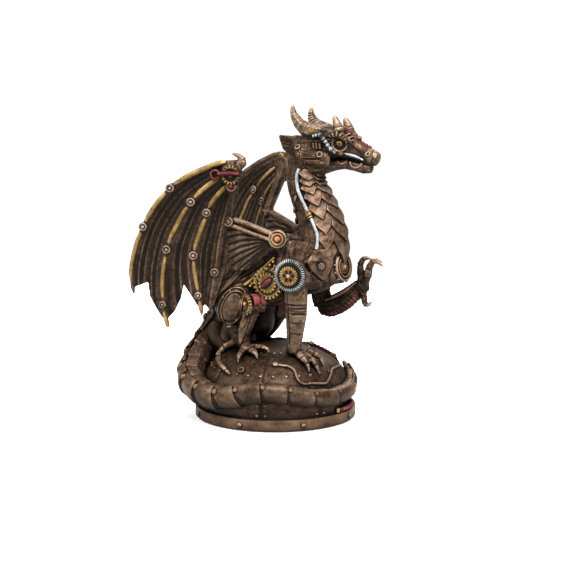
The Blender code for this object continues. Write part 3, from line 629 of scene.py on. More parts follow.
class Sculptor:
    """Cuts grooves into a casting, swells it and lays dark wash, painted shade and a light second colour on
    it; all in parts.
    """

    def __init__(self, piece):
        self.mesh = piece.data
        self.places = figure_places(self.mesh)
        self.normals = vertex_normals(self.mesh)
        self.rise = np.zeros(len(self.places))
        self.wash_and_shade = np.zeros(len(self.places))
        self.paint = np.zeros(len(self.places))

    def press(self, share, deep, darken):
        self.rise = self.rise - deep * share
        self.wash_and_shade = np.maximum(self.wash_and_shade, darken * share)

    def ring(self, centre, ahead, reach, wide=0.6, deep=0.5, darken=0.9):
        """A groove round a limb where a plane across it passes through centre."""
        away = self.places - in_parts(centre)
        along = away @ np.array(ahead.normalized())
        near = np.linalg.norm(away, axis=1) < reach
        self.press(np.exp(-(along / wide) ** 2) * near, deep, darken)

    def rings(self, path, shares, reach, wide=0.6, deep=0.5, darken=0.9):
        """Grooves at these shares of a path's length."""
        for share in shares:
            u = share * (len(path) - 1)
            here = read_curve(path, u)
            ahead = read_curve(path, min(u + 0.05, len(path) - 1)) - read_curve(path, max(u - 0.05, 0.0))
            self.ring(here, ahead, reach, wide, deep, darken)

    def bead(self, path, reach, strength=1.0, dark=False):
        """Paints everything near a path in the casting's second colour; with dark, it lays painted shade
        there instead.
        """
        for index in range(4 * (len(path) - 1) + 1):
            u = index / 4.0
            away = np.linalg.norm(self.places - in_parts(read_curve(path, u)), axis=1)
            size = read_curve(reach, u) if isinstance(reach, list) else reach
            layer = strength * np.clip((size - away) / (3.0 if dark else 0.8), 0.0, 1.0)
            if dark:
                self.wash_and_shade = np.maximum(self.wash_and_shade, layer)
            else:
                self.paint = np.maximum(self.paint, layer)

    def swell(self, path, reach, rise):
        """Fills out the form near a path."""
        for index in range(4 * (len(path) - 1) + 1):
            u = index / 4.0
            away = np.linalg.norm(self.places - in_parts(read_curve(path, u)), axis=1)
            share = np.clip((read_curve(reach, u) + 1.0 - away) / 1.5, 0.0, 1.0)
            self.rise = np.maximum(self.rise, rise * share)

    def lines(self, side, lines, wide=0.55, deep=0.6, darken=0.9, limit=0.25, facing=None):
        """Grooves along lines drawn on one side, each a list of (x, z)."""
        look = side * self.normals[:, 1] if facing is None else self.normals @ np.array(facing)
        flat = self.places[:, (0, 2)]
        gap = np.full(len(flat), 1e3)
        for line in lines:
            for start, end in zip(line[:-1], line[1:]):
                a = np.array(start)
                run = np.array(end) - a
                share = np.clip(((flat - a) @ run) / (run @ run), 0.0, 1.0)
                gap = np.minimum(gap, np.linalg.norm(flat - a - share[:, None] * run, axis=1))
        here = (look > limit) & ((self.places[:, 1] * side > -1.0) if facing is None else True)
        self.press(np.exp(-(gap / wide) ** 2) * here, deep, darken)

    def done(self):
        move_vertices(self.mesh, self.places + self.normals * self.rise[:, None])
        paint_on(self.mesh, "wash_and_shade", self.wash_and_shade)
        paint_on(self.mesh, "paint", self.paint)


# Wings

WRIST = (-9.5, 35.0)
FAN_ANGLE = math.radians(18.0)
MEMBRANE = 2.6

FINGER_ONE = [(-2, 130, 0), (10.3, 128.4, 0), (22.3, 124, -0.7), (35.2, 118, -1.8), (46.6, 110.6, -3.1),
              (56, 100.6, -4.5), (63, 91, -5.6), (68.6, 80.5, -6.5), (73.4, 69, -7.4), (76.8, 55.5, -8),
              (77.6, 45, -8), (75.3, 34.5, -7.5)]
FINGER_TWO = [(-1, 127, 0), (6.2, 122.3, 0), (15.5, 116, -0.5), (24.6, 109, -1), (32.2, 101.2, -1.8),
              (38.4, 92.4, -2.6), (43.6, 83, -3.2), (48.1, 74.6, -3.7), (51.4, 63.2, -4.2), (53.4, 51, -4.5),
              (54, 39.4, -4.5), (53.3, 26.5, -4.2), (50.3, 12, -4)]
FINGER_THREE = [(0, 125, 0), (7.2, 113.5, -1), (14.4, 105.5, -2), (19.6, 98.3, -3), (23.3, 89, -3.6),
                (27.6, 77.8, -4), (30.8, 67.5, -4), (31.4, 57.4, -3.8), (29.9, 47, -3.5), (27.8, 36, -3),
                (25.7, 22, -2.5)]
FINGER_FOUR = [(0.7, 123, 0), (4.8, 110, -4), (9.4, 96.5, -8), (13.4, 81.5, -10), (16, 67.4, -10),
               (17.2, 54, -8.5), (20, 37, -6), (21, 24, -4.5)]
INNER_EDGE = [(0.5, 120, -0.5), (2.4, 108, -5.5), (6.6, 90, -11.5), (8.4, 74, -13), (9.5, 60, -12.5),
              (12.5, 49, -10.5), (15.5, 39, -8), (18, 29, -6)]
FINGERS = [(FINGER_ONE, 2.2), (FINGER_TWO, 2.1), (FINGER_THREE, 2.0), (FINGER_FOUR, 1.6), (INNER_EDGE, 1.0)]
FINGER_JOINTS = [(0, 0.368), (0, 0.617), (1, 0.333), (1, 0.635), (1, 0.90), (2, 0.35), (2, 0.633), (2, 0.895),
                 (3, 0.73)]
# The gilded lengths of each finger, between its joints
GILDED = [(0, 0.07, 0.335), (0, 0.40, 0.585), (0, 0.65, 0.90), (1, 0.13, 0.30), (1, 0.37, 0.60),
          (1, 0.67, 0.87),
          (1, 0.93, 0.99), (2, 0.10, 0.31), (2, 0.39, 0.60), (2, 0.67, 0.865), (2, 0.92, 0.98)]


# Where the dragon's skin is parted under the scutes, so that the head can be finer
NECK_CUT = 116.0
# How many folds each web between two fingers has, and how deep they are, in parts
FOLDS = [5, 4, 4, 3]
FOLD_DEPTH = 2.1


def wing_place(side, back, high, out=0.0):
    """A place on a wing: back from the wrist, high over the dome's crown and out from the fan's plane."""
    x = WRIST[0] - back * math.cos(FAN_ANGLE) + out * math.sin(FAN_ANGLE)
    y = WRIST[1] + back * math.sin(FAN_ANGLE) + out * math.cos(FAN_ANGLE)
    return at(x, side * y, high)


def wing_out(side):
    return Vector((math.sin(FAN_ANGLE), side * math.cos(FAN_ANGLE), 0.0))


def on_finger(finger, share):
    """A place on a finger, in wing coordinates."""
    curve = FINGERS[finger][0]
    return Vector([read_curve([point[axis] for point in curve],
                              share * (len(curve) - 1)) for axis in range(3)])


def rod_height(share, face):
    """How far a finger's rod stands out from the fan's plane on its outer or inner face, in parts."""
    proud = 2.2 if face > 0 else 1.2
    return 0.5 * MEMBRANE + proud * min(1.0, 0.3 + 4.0 * share) * (1.0 - 0.55 * share)


def web_place(web, across, share):
    """A place on the web between a finger and the next, in wing coordinates."""
    return on_finger(web, share).lerp(on_finger(web + 1, share), across)


def web_samples(steps=13, reaches=30):
    tree = KDTree(4 * steps * reaches)
    samples = []
    for web in range(4):
        for step in range(steps):
            for reach in range(reaches):
                across = step / (steps - 1)
                share = reach / (reaches - 1)
                here = web_place(web, across, share)
                tree.insert((here.x, here.y, 0.0), len(samples))
                samples.append((web, across, share, here, web_place(web, across + 0.02, share) - here,
                                web_place(web, across,
                                          min(share + 0.02, 1.0)) - web_place(web, across, min(share, 0.98))))
    tree.balance()
    return tree, samples


def fold_membrane(side, skin):
    """Sculpts the soft folds that run down each web between two fingers, with painted shade in their valleys
    and a painted highlight on their ridges.
    """
    tree, samples = web_samples()
    mesh = skin.data
    places = figure_places(mesh)
    out = np.array(wing_out(side))
    facing = vertex_normals(mesh) @ out
    behind = (WRIST[0] - places[:, 0]) * math.cos(FAN_ANGLE)
    beside = (side * places[:, 1] - WRIST[1]) * math.sin(FAN_ANGLE)
    back = behind + beside
    wash_and_shade = np.zeros(len(places))
    light = np.zeros(len(places))
    for index in range(len(places)):
        spot = Vector((back[index], places[index, 2], 0.0))
        found, number, gap = tree.find(spot)
        if abs(facing[index]) < 0.45 or gap > 4.0:
            continue
        web, across, share, here, over, onward = samples[number]
        cross = over.x * onward.y - over.y * onward.x
        if abs(cross) > 1e-9:
            dx = spot.x - here.x
            dz = spot.y - here.y
            across += 0.02 * (dx * onward.y - dz * onward.x) / cross
            share += 0.02 * (over.x * dz - over.y * dx) / cross
        span = (on_finger(web, min(max(share, 0.0),
                                   1.0)) - on_finger(web + 1, min(max(share, 0.0), 1.0))).length
        folds = FOLDS[web]
        inner = min(max(min(across, 1.0 - across) * span - 1.6, 0.0) / 2.6,
                    1.0) * min(1.0, max(0.0, 5.0 * share))
        wave = (0.68 * math.cos(TURN * folds * across + 1.1 * math.sin(4.4 * share + web))
                + 0.32 * math.cos(TURN * (folds + 2.5) * across + 2.2 * math.sin(3.0 * share + 2.0 * web)))
        ridge = 0.5 + 0.5 * math.copysign(abs(wave) ** 0.8, wave)
        rise = FOLD_DEPTH * (ridge - 0.62) * inner
        places[index] += out * math.copysign(rise, facing[index])
        # Painted shade in the valleys of the folds and, more lightly, over the whole inner membrane
        wash_and_shade[index] = inner * min(0.97, max(0.0, 1.15 - 1.9 * ridge) + 0.22)
        # Painted highlight on the ridges of the folds, stronger towards their lower ends, laid as the second
        # colour
        light[index] = inner * max(0.0, 4.0 * ridge - 3.0) * (0.10 + 0.9 * min(1.0, max(0.0, share)) ** 2)
    move_vertices(mesh, places)
    work = Sculptor(skin)
    work.wash_and_shade = wash_and_shade
    work.paint = light
    thumb = [wing_place(side, -3.9, 127.0, 1.2), wing_place(side, -3.8, 131.4, 1.2),
             wing_place(side, -0.6, 133.8, 1.2),
             wing_place(side, 3.2, 134.8, 1.2)]
    work.bead(thumb, [4.2, 4.0, 3.2, 2.2])
    sculpt_arm_web(side, work)
    work.done()


def finger_strips(side, face):
    strips = []
    for finger, low, high in GILDED[0 if face > 0 else 1:]:
        count = max(3, int(30 * (high - low)))
        line = []
        wide = []
        for index in range(count + 1):
            share = low + (high - low) * index / count
            place = on_finger(finger, share)
            line.append(wing_place(side, place.x, place.y, place.z + face * (rod_height(share, face) - 1.15)))
            end = 1.0 if 0 < index < count else 0.6
            wide.append(FINGERS[finger][1] * (1.0 - 0.35 * share) * 0.98 * end)
        strips.append(rod(line, wide, 4, steps=3))
    return set_on(strips, "finger_strips_%s_%s" % (HAND[side], FACE[face]), GILT)


def finger_joints(side, face):
    out = wing_out(side) * face
    rings = []
    heads = []
    for finger, share in FINGER_JOINTS:
        place = on_finger(finger, share)
        centre = wing_place(side, place.x, place.y, place.z + face * (3.4 if face > 0 else 2.9))
        small = 0.85 if share > 0.8 else 1.0
        rings.append(ring(centre, out, 2.3 * small, 0.7 * small, 24, 8))
        rings.append(boss([(2.6 * small, -3.0), (2.6 * small, 0.0), (2.0 * small, 0.1)], 20, centre, out))
        heads.append(rivet(centre + out * 0.1 * UNIT, out, 1.15 * small, 0.8))
    set_on(rings, "finger_joints_%s_%s" % (HAND[side], FACE[face]), BRONZE)
    set_on(heads, "joint_heads_%s_%s" % (HAND[side], FACE[face]), PIN)


def wing_arm(side):
    """The wrist's gear with its red bar, the elbow, the two arm bars and the pivot."""
    out = wing_out(side)
    elbow = at(-21.6, side * 25.5, 87.2)
    pivot = at(11, side * 17, 76)
    wrist = wing_place(side, 3.6, 120.6, 3.6)
    finish(stand(gear(16, 5.2, 6.4, 2.4, 0.3), wrist, out), "wrist_gear_%s" % HAND[side], GILT)
    # Painted shade: a dark well behind the wrist gear
    well = boss([(4.6, 0.0), (4.6, 1.3), (4.2, 1.4)], 24, wrist, out)
    finish(well, "wrist_well_%s" % HAND[side], DARK)
    bar = rod([wing_place(side, -2.5, 121.6, 6.0), wing_place(side, 6.0, 121.8, 6.4),
               wing_place(side, 12.0, 121.2, 5.0)],
              [1.1, 1.4, 1.1], 4)
    loop = ring(wing_place(side, 14.4, 120.6, 4.0), out, 2.9, 0.7)
    knob = rivet(wing_place(side, 3.6, 112.6, 3.4), out, 1.7, 0.9)
    set_on([bar, loop, knob], "wrist_bar_%s" % HAND[side], RED)
    rims = [ring(wing_place(side, 3.6, 112.6, 3.2), out, 2.7, 0.8),
            ring(elbow + out * 4.2 * UNIT, out, 2.7, 0.8),
            boss([(3.4, -5.0), (3.4, -0.4), (2.6, 0.0)], 20, wing_place(side, 3.6, 112.6, 3.2), out)]
    shoulder = at(11, side * 14.4, 76)
    axis = Vector((0.35, side, 0.0)).normalized()
    rims.append(ring(shoulder + axis * 4.6 * UNIT, axis, 5.6, 0.8, 36))
    finish(ring(shoulder + axis * 5.2 * UNIT, axis, 3.7, 0.8, 28), "shoulder_ring_%s" % HAND[side], GILT)
    set_on(rims, "arm_rings_%s" % HAND[side], PLATE_BRONZE)
    jewel = boss([(2.3, -1.0), (2.3, 0.9), (1.8, 1.7), (0.9, 2.1)], 20, shoulder + axis * 4.6 * UNIT, axis)
    finish(jewel, "shoulder_jewel_%s" % HAND[side], JEWEL)
    screws = [rivet(wing_place(side, -4.4, 128.6, 3.6), out, 2.2, 0.5),
              rivet(elbow + out * 4.2 * UNIT, out, 1.9, 0.7)]
    bars = []
    for offset in (-2.5, 2.5):
        lift = UP * offset * UNIT
        bars.append(rod([elbow + 0.8 * lift + out * 1.4 * UNIT,
                         elbow.lerp(pivot, 0.5) + lift + out * 1.2 * UNIT,
                         pivot + 0.7 * lift + out * 1.4 * UNIT], [1.9, 1.6, 1.9], 4))
    set_on(bars + screws, "arm_bars_%s" % HAND[side], BRONZE)
    pins = [wing_place(side, back, high, -2.4) for back, high in ((4.6, 126.0), (3.2, 115.8))]
    inner = [ring(pin, -out, 2.6, 0.8, 24, 8) for pin in pins]
    inner += [boss([(3.2, -3.0), (3.2, -0.3), (2.6, 0.1)], 20, pin, -out) for pin in pins]
    inner += [rivet(pin, -out, 1.3, 0.8) for pin in pins]
    set_on(inner, "inner_pivots_%s" % HAND[side], GILT)


# Neck, tail and body

NECK = Limb([(at(30, 0, 56), 17, 18), (at(36, 0, 70), 16.5, 17), (at(35, 0, 84), 14.3, 15.4),
             (at(29.6, 0, 98), 12.4, 14), (at(24, 0, 110), 11.2, 12.8), (at(22.4, 0, 120), 10.8, 12.4),
             (at(24, 0, 131), 10, 10.5)])
TAIL_LOOP = [(180, -5.0, 31.0, 9.8), (190, -1.4, 22.0, 9.6), (201, 0.8, 14.5, 9.4), (213, 2.2, 8.8, 9.2),
             (226, 2.6, 5.4, 8.8), (240, 2.0, 2.6, 8.2), (254, 0.6, 1.4, 7.6), (268, -0.6, 3.0, 7.1),
             (282, -1.0, 7.0, 6.8), (296, -1.4, 7.6, 6.4), (311, -1.6, 5.4, 6.0), (327, -1.6, 2.4, 5.6),
             (344, -1.4, 1.2, 5.4), (2, -1.6, 1.8, 5.0), (16, -2.6, 4.6, 4.2), (29, -4.4, 9.4, 3.2),
             (40, -7.4, 15.4, 1.6)]


def from_axis(place):
    """The level direction from the plinth's axis out to a place."""
    return Vector((place.x, place.y, 0.0)).normalized()


TAIL = Limb([(at(-35, 0, 24), 12.0), (at(-43.5, 0, 15.5), 10.4)]
            + [(round_plinth(degrees, out, up), thick) for degrees, out, up, thick in TAIL_LOOP], from_axis)


def neck_scutes():
    """Pointed plates down the throat, with a row of narrower ones on each side."""
    scutes = []
    rows = 8
    pitch = (NECK.length - 1.45) / rows
    for index in range(rows):
        low = NECK.length - 0.3 - pitch * index
        along = (low, low - 1.06 * pitch)
        scutes.append(NECK.scale(along, (-124.0, -56.0), (1.2, 3.4), -0.34, 12, 6, 2.2, 0.3, 0.32))
        for side, around in ((RIGHT, (-168.0, -114.0)), (LEFT, (-66.0, -12.0))):
            shift = 0.5 * pitch
            scutes.append(NECK.scale((low - shift, low - shift - 1.02 * pitch), around, (0.6, 2.6), -0.34, 10,
                                     6, 1.9, 0.3, 0.5))
    return set_on(scutes, "neck_scutes", PLATE_BRONZE)


def tail_plates():
    plates = []
    rivets = []
    slits = []
    count = 14
    pitch = (TAIL.length - 1.6) / count
    for index in range(count):
        low = 1.1 + pitch * index
        small = 1.0 - 0.55 * index / count
        plates.append(TAIL.scale((low, low + 1.05 * pitch), (-60.0, 150.0), (0.2, 2.3 * small), 0.10, 18, 5,
                                 1.8, 0.3))
        place = TAIL.surface(low + 0.18 * pitch, -34.0, 1.0 * small)
        out = TAIL.outwards(low + 0.18 * pitch, -34.0)
        plates.append(boss([(2.6 * small, -2.0), (2.6 * small, 0.2), (2.1 * small, 0.7)], 20, place, out))
        rivets.append(rivet(place + out * 0.5 * UNIT, out, 1.0 * small + 0.2, 0.8))
        # Painted shade: dark slits in the gaps under the plates
        slit = [TAIL.surface(low + (0.10 + 0.05 * step) * pitch, -14.0 + 22.0 * step,
                             0.5) for step in range(6)]
        slits.append(rod(slit, [0.5, 1.1 * small, 1.3 * small, 1.3 * small, 1.1 * small, 0.6], 3))
    set_on(slits, "tail_slits", DARK)
    set_on(plates, "tail_plates", TAIL_BRONZE)
    root = [rod([at(-46, -1, 11), at(-38, -5, -2), at(-28, 0, -2), at(-18, 5, 0)], [9.0, 9.5, 8.5, 6.0], 8),
            rod([at(-30, -8, 26), at(-28, -8, 14), at(-32, -6, 2)], [9.0, 8.5, 9.0], 8),
            rod([at(-12, 8, 27), at(-15.5, 11, 19), at(-18, 11, 10), at(-24, 10, 0)], [7.0, 8.5, 9.0, 6.5],
                8)]
    set_on(root, "tail_root", SHADED_BRONZE, 60.0)
    return set_on(rivets, "tail_rivets", PLATE_BRONZE)


def holed_gear(teeth, root, tip, thick, holes, hole_at, hole_size, centre, axis, hub=0.3):
    """A gear with a ring of holes, each a dark cup of painted shade; gives the gear and its holes."""
    wheel = stand(gear(teeth, root, tip, thick, hub), centre, axis)
    cups = []
    for index in range(holes):
        angle = TURN * index / holes
        cup = turned([(hole_size, 0.0), (hole_size, 0.62 * thick), (0.8 * hole_size, 0.56 * thick)], 12)
        cup.data.transform(Matrix.Translation((hole_at * UNIT * math.cos(angle),
                                               hole_at * UNIT * math.sin(angle), 0.0)))
        cups.append(stand(cup, centre, axis))
    return wheel, cups


TYRE_RADIUS = 9.8
TYRE_THICK = 1.6
TYRE_RIBS = 44


def shoulder_wheel(side):
    """The tyre with its radial ribs, and the gilded gear at its hub."""
    hand = HAND[side]
    centre = at(26.6, side * 25.2, 53)
    axis = Vector((0.10, side, 0.04)).normalized()
    across = 12
    bpy.ops.mesh.primitive_torus_add(major_radius=TYRE_RADIUS * UNIT, minor_radius=TYRE_THICK * UNIT,
                                     major_segments=2 * TYRE_RIBS, minor_segments=across)
    tyre = bpy.context.object
    wash_and_shade = []
    for vertex in tyre.data.vertices:
        spoke = vertex.index // across
        middle = Vector((vertex.co.x, vertex.co.y, 0.0)).normalized() * TYRE_RADIUS * UNIT
        vertex.co = middle + (vertex.co - middle) * (1.18 if spoke % 2 else 0.92)
        high = vertex.co.z / (TYRE_THICK * UNIT)
        wash_and_shade.append(0.85 - 0.75 * high if spoke % 2 else 0.98)
    paint_on(tyre.data, "wash_and_shade", wash_and_shade)
    finish(stand(tyre, centre + axis * 1.4 * UNIT, axis), "tyre_" + hand, RUBBER)
    wheel, cups = holed_gear(22, 5.5, 6.6, 2.0, 6, 3.1, 1.05, centre + axis * 3.2 * UNIT, axis, 0.0)
    finish(wheel, "hub_gear_" + hand, GILT)
    # Painted shade: a dark well behind the tyre and dark holes in the gear
    well = boss([(9.4, -2.0), (9.4, 2.6), (8.2, 2.9)], 32, centre, axis)
    set_on(cups + [well], "hub_holes_" + hand, DARK)
    finish(rivet(centre + axis * 4.3 * UNIT, axis, 1.3, 0.8), "hub_jewel_" + hand, JEWEL)


def medallion():
    centre = at(52.0, 0, 57.4)
    axis = Vector((1.0, -0.05, 0.14)).normalized()
    rims = [ring(centre + axis * 1.8 * UNIT, axis, 9.2, 1.0, 48),
            ring(centre + axis * 2.4 * UNIT, axis, 6.9, 0.6, 40),
            boss([(11.4, -6.0), (11.2, -2.2), (10.6, -0.8), (9.7, -0.2), (9.2, 1.4), (7.6, 1.2), (6.9, 0.6)],
                 48, centre, axis)]
    for index in range(12):
        angle = TURN * index / 12
        spot = axis.orthogonal().normalized()
        spot.rotate(Matrix.Rotation(angle, 3, axis))
        rims.append(rivet(centre + axis * 2.2 * UNIT + spot * 10.4 * UNIT - axis * 0.9 * UNIT, axis, 0.8,
                          0.8))
    set_on(rims, "medallion_rims", PLATE_BRONZE)
    # Painted shade: a dark well and dark holes behind the gear
    well = boss([(6.6, 0.0), (6.6, 1.9), (6.0, 1.7)], 36, centre, axis)
    wheel, cups = holed_gear(18, 3.9, 4.9, 1.6, 8, 2.9, 0.6, centre + axis * 1.6 * UNIT, axis)
    finish(wheel, "medallion_gear", TAIL_BRONZE)
    set_on([well] + cups, "medallion_dial", DARK)
    finish(rivet(centre + axis * 2.2 * UNIT, axis, 1.6, 0.8), "medallion_jewel", JEWEL)


def knee(side):
    """The knee's gear and the red drum behind it."""
    hand = HAND[side]
    hub = at(-6.8, side * 26.6, 31.0) if side == RIGHT else at(-8.1, side * 26.6, 21.0)
    axis = Vector((-0.5, side * 0.85, 0.0)).normalized()
    wheel, cups = holed_gear(18, 5.4, 6.5, 1.5, 5, 3.4, 1.15, hub + axis * 1.0 * UNIT, axis, 0.25)
    finish(wheel, "knee_gear_" + hand, GILT)
    # Painted shade in the gear's holes
    set_on(cups, "knee_holes_" + hand, DARK)
    finish(rivet(hub + axis * 1.8 * UNIT, axis, 1.6, 0.8), "knee_jewel_" + hand, JEWEL)
    drum = [(4.6, -12.4), (4.9, -12.0), (4.9, -8.4), (4.5, -8.1), (4.5, -7.5), (4.9, -7.2), (4.9, -3.0),
            (4.5, -2.6)]
    finish(boss(drum, 28, hub + UP * 1.6 * UNIT, axis), "knee_drum_" + hand, RED)


def head_details(cast):
    gilt = []
    silver = []
    bronze = []
    red = []
    dark = []
    jaw = []
    for side in (RIGHT, LEFT):
        eye = at(54.6, side * 8.2, 142)
        gaze = Vector((0.35, side, 0.12)).normalized()
        bronze.append(ring(eye + gaze * 1.0 * UNIT, gaze, 5.0, 0.75))
        # Painted shade: a dark well in the eye socket
        dark.append(boss([(4.4, -1.0), (4.4, 1.3), (3.6, 1.5)], 28, eye, gaze))
        gilt.append(boss([(2.2, 0.5), (2.2, 1.6), (1.7, 2.6), (0.8, 3.0)], 20, eye, gaze))
        dark.append(boss([(0.7, 1.0), (0.7, 3.1), (0.4, 3.3)], 12, eye, gaze))
        for index in range(9):
            angle = math.radians(14.0 + 20.0 * index)
            inner = cast.side(side, 54.4 + 5.6 * math.cos(angle), 142.0 + 5.4 * math.sin(angle), 0.4)[0]
            outer = cast.side(side, 54.2 + 8.8 * math.cos(angle), 142.2 + 7.8 * math.sin(angle), 0.4)[0]
            bronze.append(rod([inner, inner.lerp(outer, 0.5), outer], [0.55, 0.8, 0.5], 3))
        tube = cast.line(side, [(43.6, 146.6), (45.4, 143.6), (48.4, 139.4), (52.4, 136.6)], 1.1)
        silver.append(ribbed(tube, 1.75, 2.6, 0.6))
        silver.append(ribbed(cast.line(side, [(35.6, 147.2), (39.4, 147.8), (43.0, 147.4)], 0.7), 1.7, 2.6,
                             0.6))
        silver.append(rod(cast.line(side, [(57.4, 136.0), (61.4, 135.0), (65.6, 133.9), (70.8, 131.8)], 0.4),
                          [0.7, 1.1, 1.1, 0.6]))
        gilt.append(rivet(*cast.side(side, 55.2, 136.2, 0.8), 1.9, 0.9))
        gilt.append(cast.plate(side, [(33.2, 152.0), (37.2, 152.2), (37.6, 149.4), (34.0, 149.2)], 0.6))
        # Painted shade: a dark plate in the cheek's hollow
        dark.append(cast.plate(side, oval(39.2, 140.2, 5.0, 2.3, -4.0), 0.3))
        jaw += [rod(cast.line(side, [(x, 142.0), (x + 0.2, 140.2), (x + 0.4, 138.4)], 0.7), 0.8, 3)
                for x in (36.2, 38.6, 41.0)]
        bronze.append(ring(*cast.side(side, 74.0, 135.7, 0.2), 1.3, 0.55, 16, 6))
        # Painted shade in the nostril
        dark.append(rivet(*cast.side(side, 74.0, 135.7), 1.0, 0.2))
        jaw += [cast.plate(side, outline, 0.9) for outline in (
            [(26.4, 136.4), (38.8, 135.2), (39.8, 132.2), (27.2, 131.6)],
            [(28.0, 130.4), (40.4, 131.0), (45.6, 129.6), (44.0, 127.6), (29.0, 127.4)])]
        bronze += cast.rivets(side, [(28.0, 134.0), (37.6, 133.6), (30.2, 129.0), (42.8, 129.0)], 0.7, 0.9)
        bronze += [ring(*cast.side(side, x, z, 0.4), 1.7, 0.5, 20,
                        6) for x, z in ((24.0, 138.6), (41.6, 134.6))]
        # Painted shade in the holes of these rings
        dark += [rivet(*cast.side(side, x, z, 0.4), 1.5, 0.5) for x, z in ((24.0, 138.6), (41.6, 134.6))]
        bronze += [rod(cast.line(side, line, 0.2), 0.75) for line in (
            [(51.4, 131.8), (52.6, 129.2), (56.2, 128.6), (58.0, 130.8)],
            [(60.6, 129.8), (61.8, 127.4), (66.4, 126.6), (69.0, 129.0)])]
    ridge = [at(50, 0, 152.2), at(55, 0, 150.8), at(59.4, 0, 148.4), at(62.4, 0, 145.4), at(65.4, 0, 142.6),
             at(69.4, 0, 140.4),
             at(73.6, 0, 138.6)]
    red.append(ribbed(ridge, 2.2, 2.9, 0.72))
    gilt += [rivet(*cast.side(LEFT, 55.9, 151.1), 1.3, 0.9), rivet(*cast.top(64.6, -0.6, 1.2), 1.4, 0.9)]
    set_on(gilt, "head_gilding", GILT)
    set_on(silver, "head_pipes", SILVER)
    set_on(bronze, "head_plates", PLATE_BRONZE)
    set_on(red, "brow_ridge", RED)
    set_on(jaw, "jaw_plates", TAIL_BRONZE)
    set_on(dark, "head_hollows", DARK)


def neck_hose(head_cast, body_cast, side):
    """The pale hose down the neck, with its ribbed brass coupling."""
    hand = HAND[side]
    upper = head_cast.line(side, [(25.2, 124.0), (23.6, 118.6)], 1.0)
    upper += body_cast.line(side, [(24.9, 110.4), (28.3, 103.4), (33.0, 96.0)], 1.0)
    lower = body_cast.line(side, [(35.4, 92.0), (39.0, 86.0), (41.4, 79.6), (41.6, 71.0)], 1.0)
    set_on([rod(upper, 1.35), rod(lower, 1.2)], "neck_hose_" + hand, SILVER)
    ends = [body_cast.side(side, 33.0, 96.0, 1.2)[0], body_cast.side(side, 35.8, 91.4, 1.2)[0]]
    barrel = [(1.5, -3.0), (2.1, -2.6), (2.1, -1.9), (1.7, -1.6), (2.3, -1.0), (2.3, 1.0), (1.7, 1.6),
              (2.1, 1.9), (2.1, 2.6),
              (1.5, 3.0)]
    glints = [rod(body_cast.line(side, [(x, z), (x - 0.8, z - 2.2), (x - 1.0, z - 4.4)], 0.6),
                  [0.7, 1.1, 0.7], 3)
              for x, z in ((23.4, 106.0), (21.6, 98.0), (22.0, 90.0))]
    set_on(glints, "neck_fittings_" + hand, GILT)
    finish(boss(barrel, 20, ends[0].lerp(ends[1], 0.5), ends[1] - ends[0]), "hose_coupling_" + hand, GILT)


def oval(x, z, wide, high, lean, corners=18):
    """The corners of an oval plate that leans by so many degrees."""
    turn = math.radians(lean)
    outline = []
    for index in range(corners):
        a = wide * math.cos(TURN * index / corners)
        b = high * math.sin(TURN * index / corners)
        outline.append((x + a * math.cos(turn) - b * math.sin(turn),
                        z + a * math.sin(turn) + b * math.cos(turn)))
    return outline


def oval_boss(centre, axis, wide, high, lean, profile):
    """A low oval boss on a flat place; wide lies along the lean, in degrees up from the front."""
    along = Vector((math.cos(math.radians(lean)), 0.0, math.sin(math.radians(lean))))
    along = (along - along.dot(axis) * axis).normalized()
    across = axis.cross(along)
    piece = turned(profile, 28)
    turn = Matrix((along * wide, across * high, axis)).transposed().to_4x4()
    piece.matrix_world = Matrix.Translation(centre) @ turn
    return settle(piece)


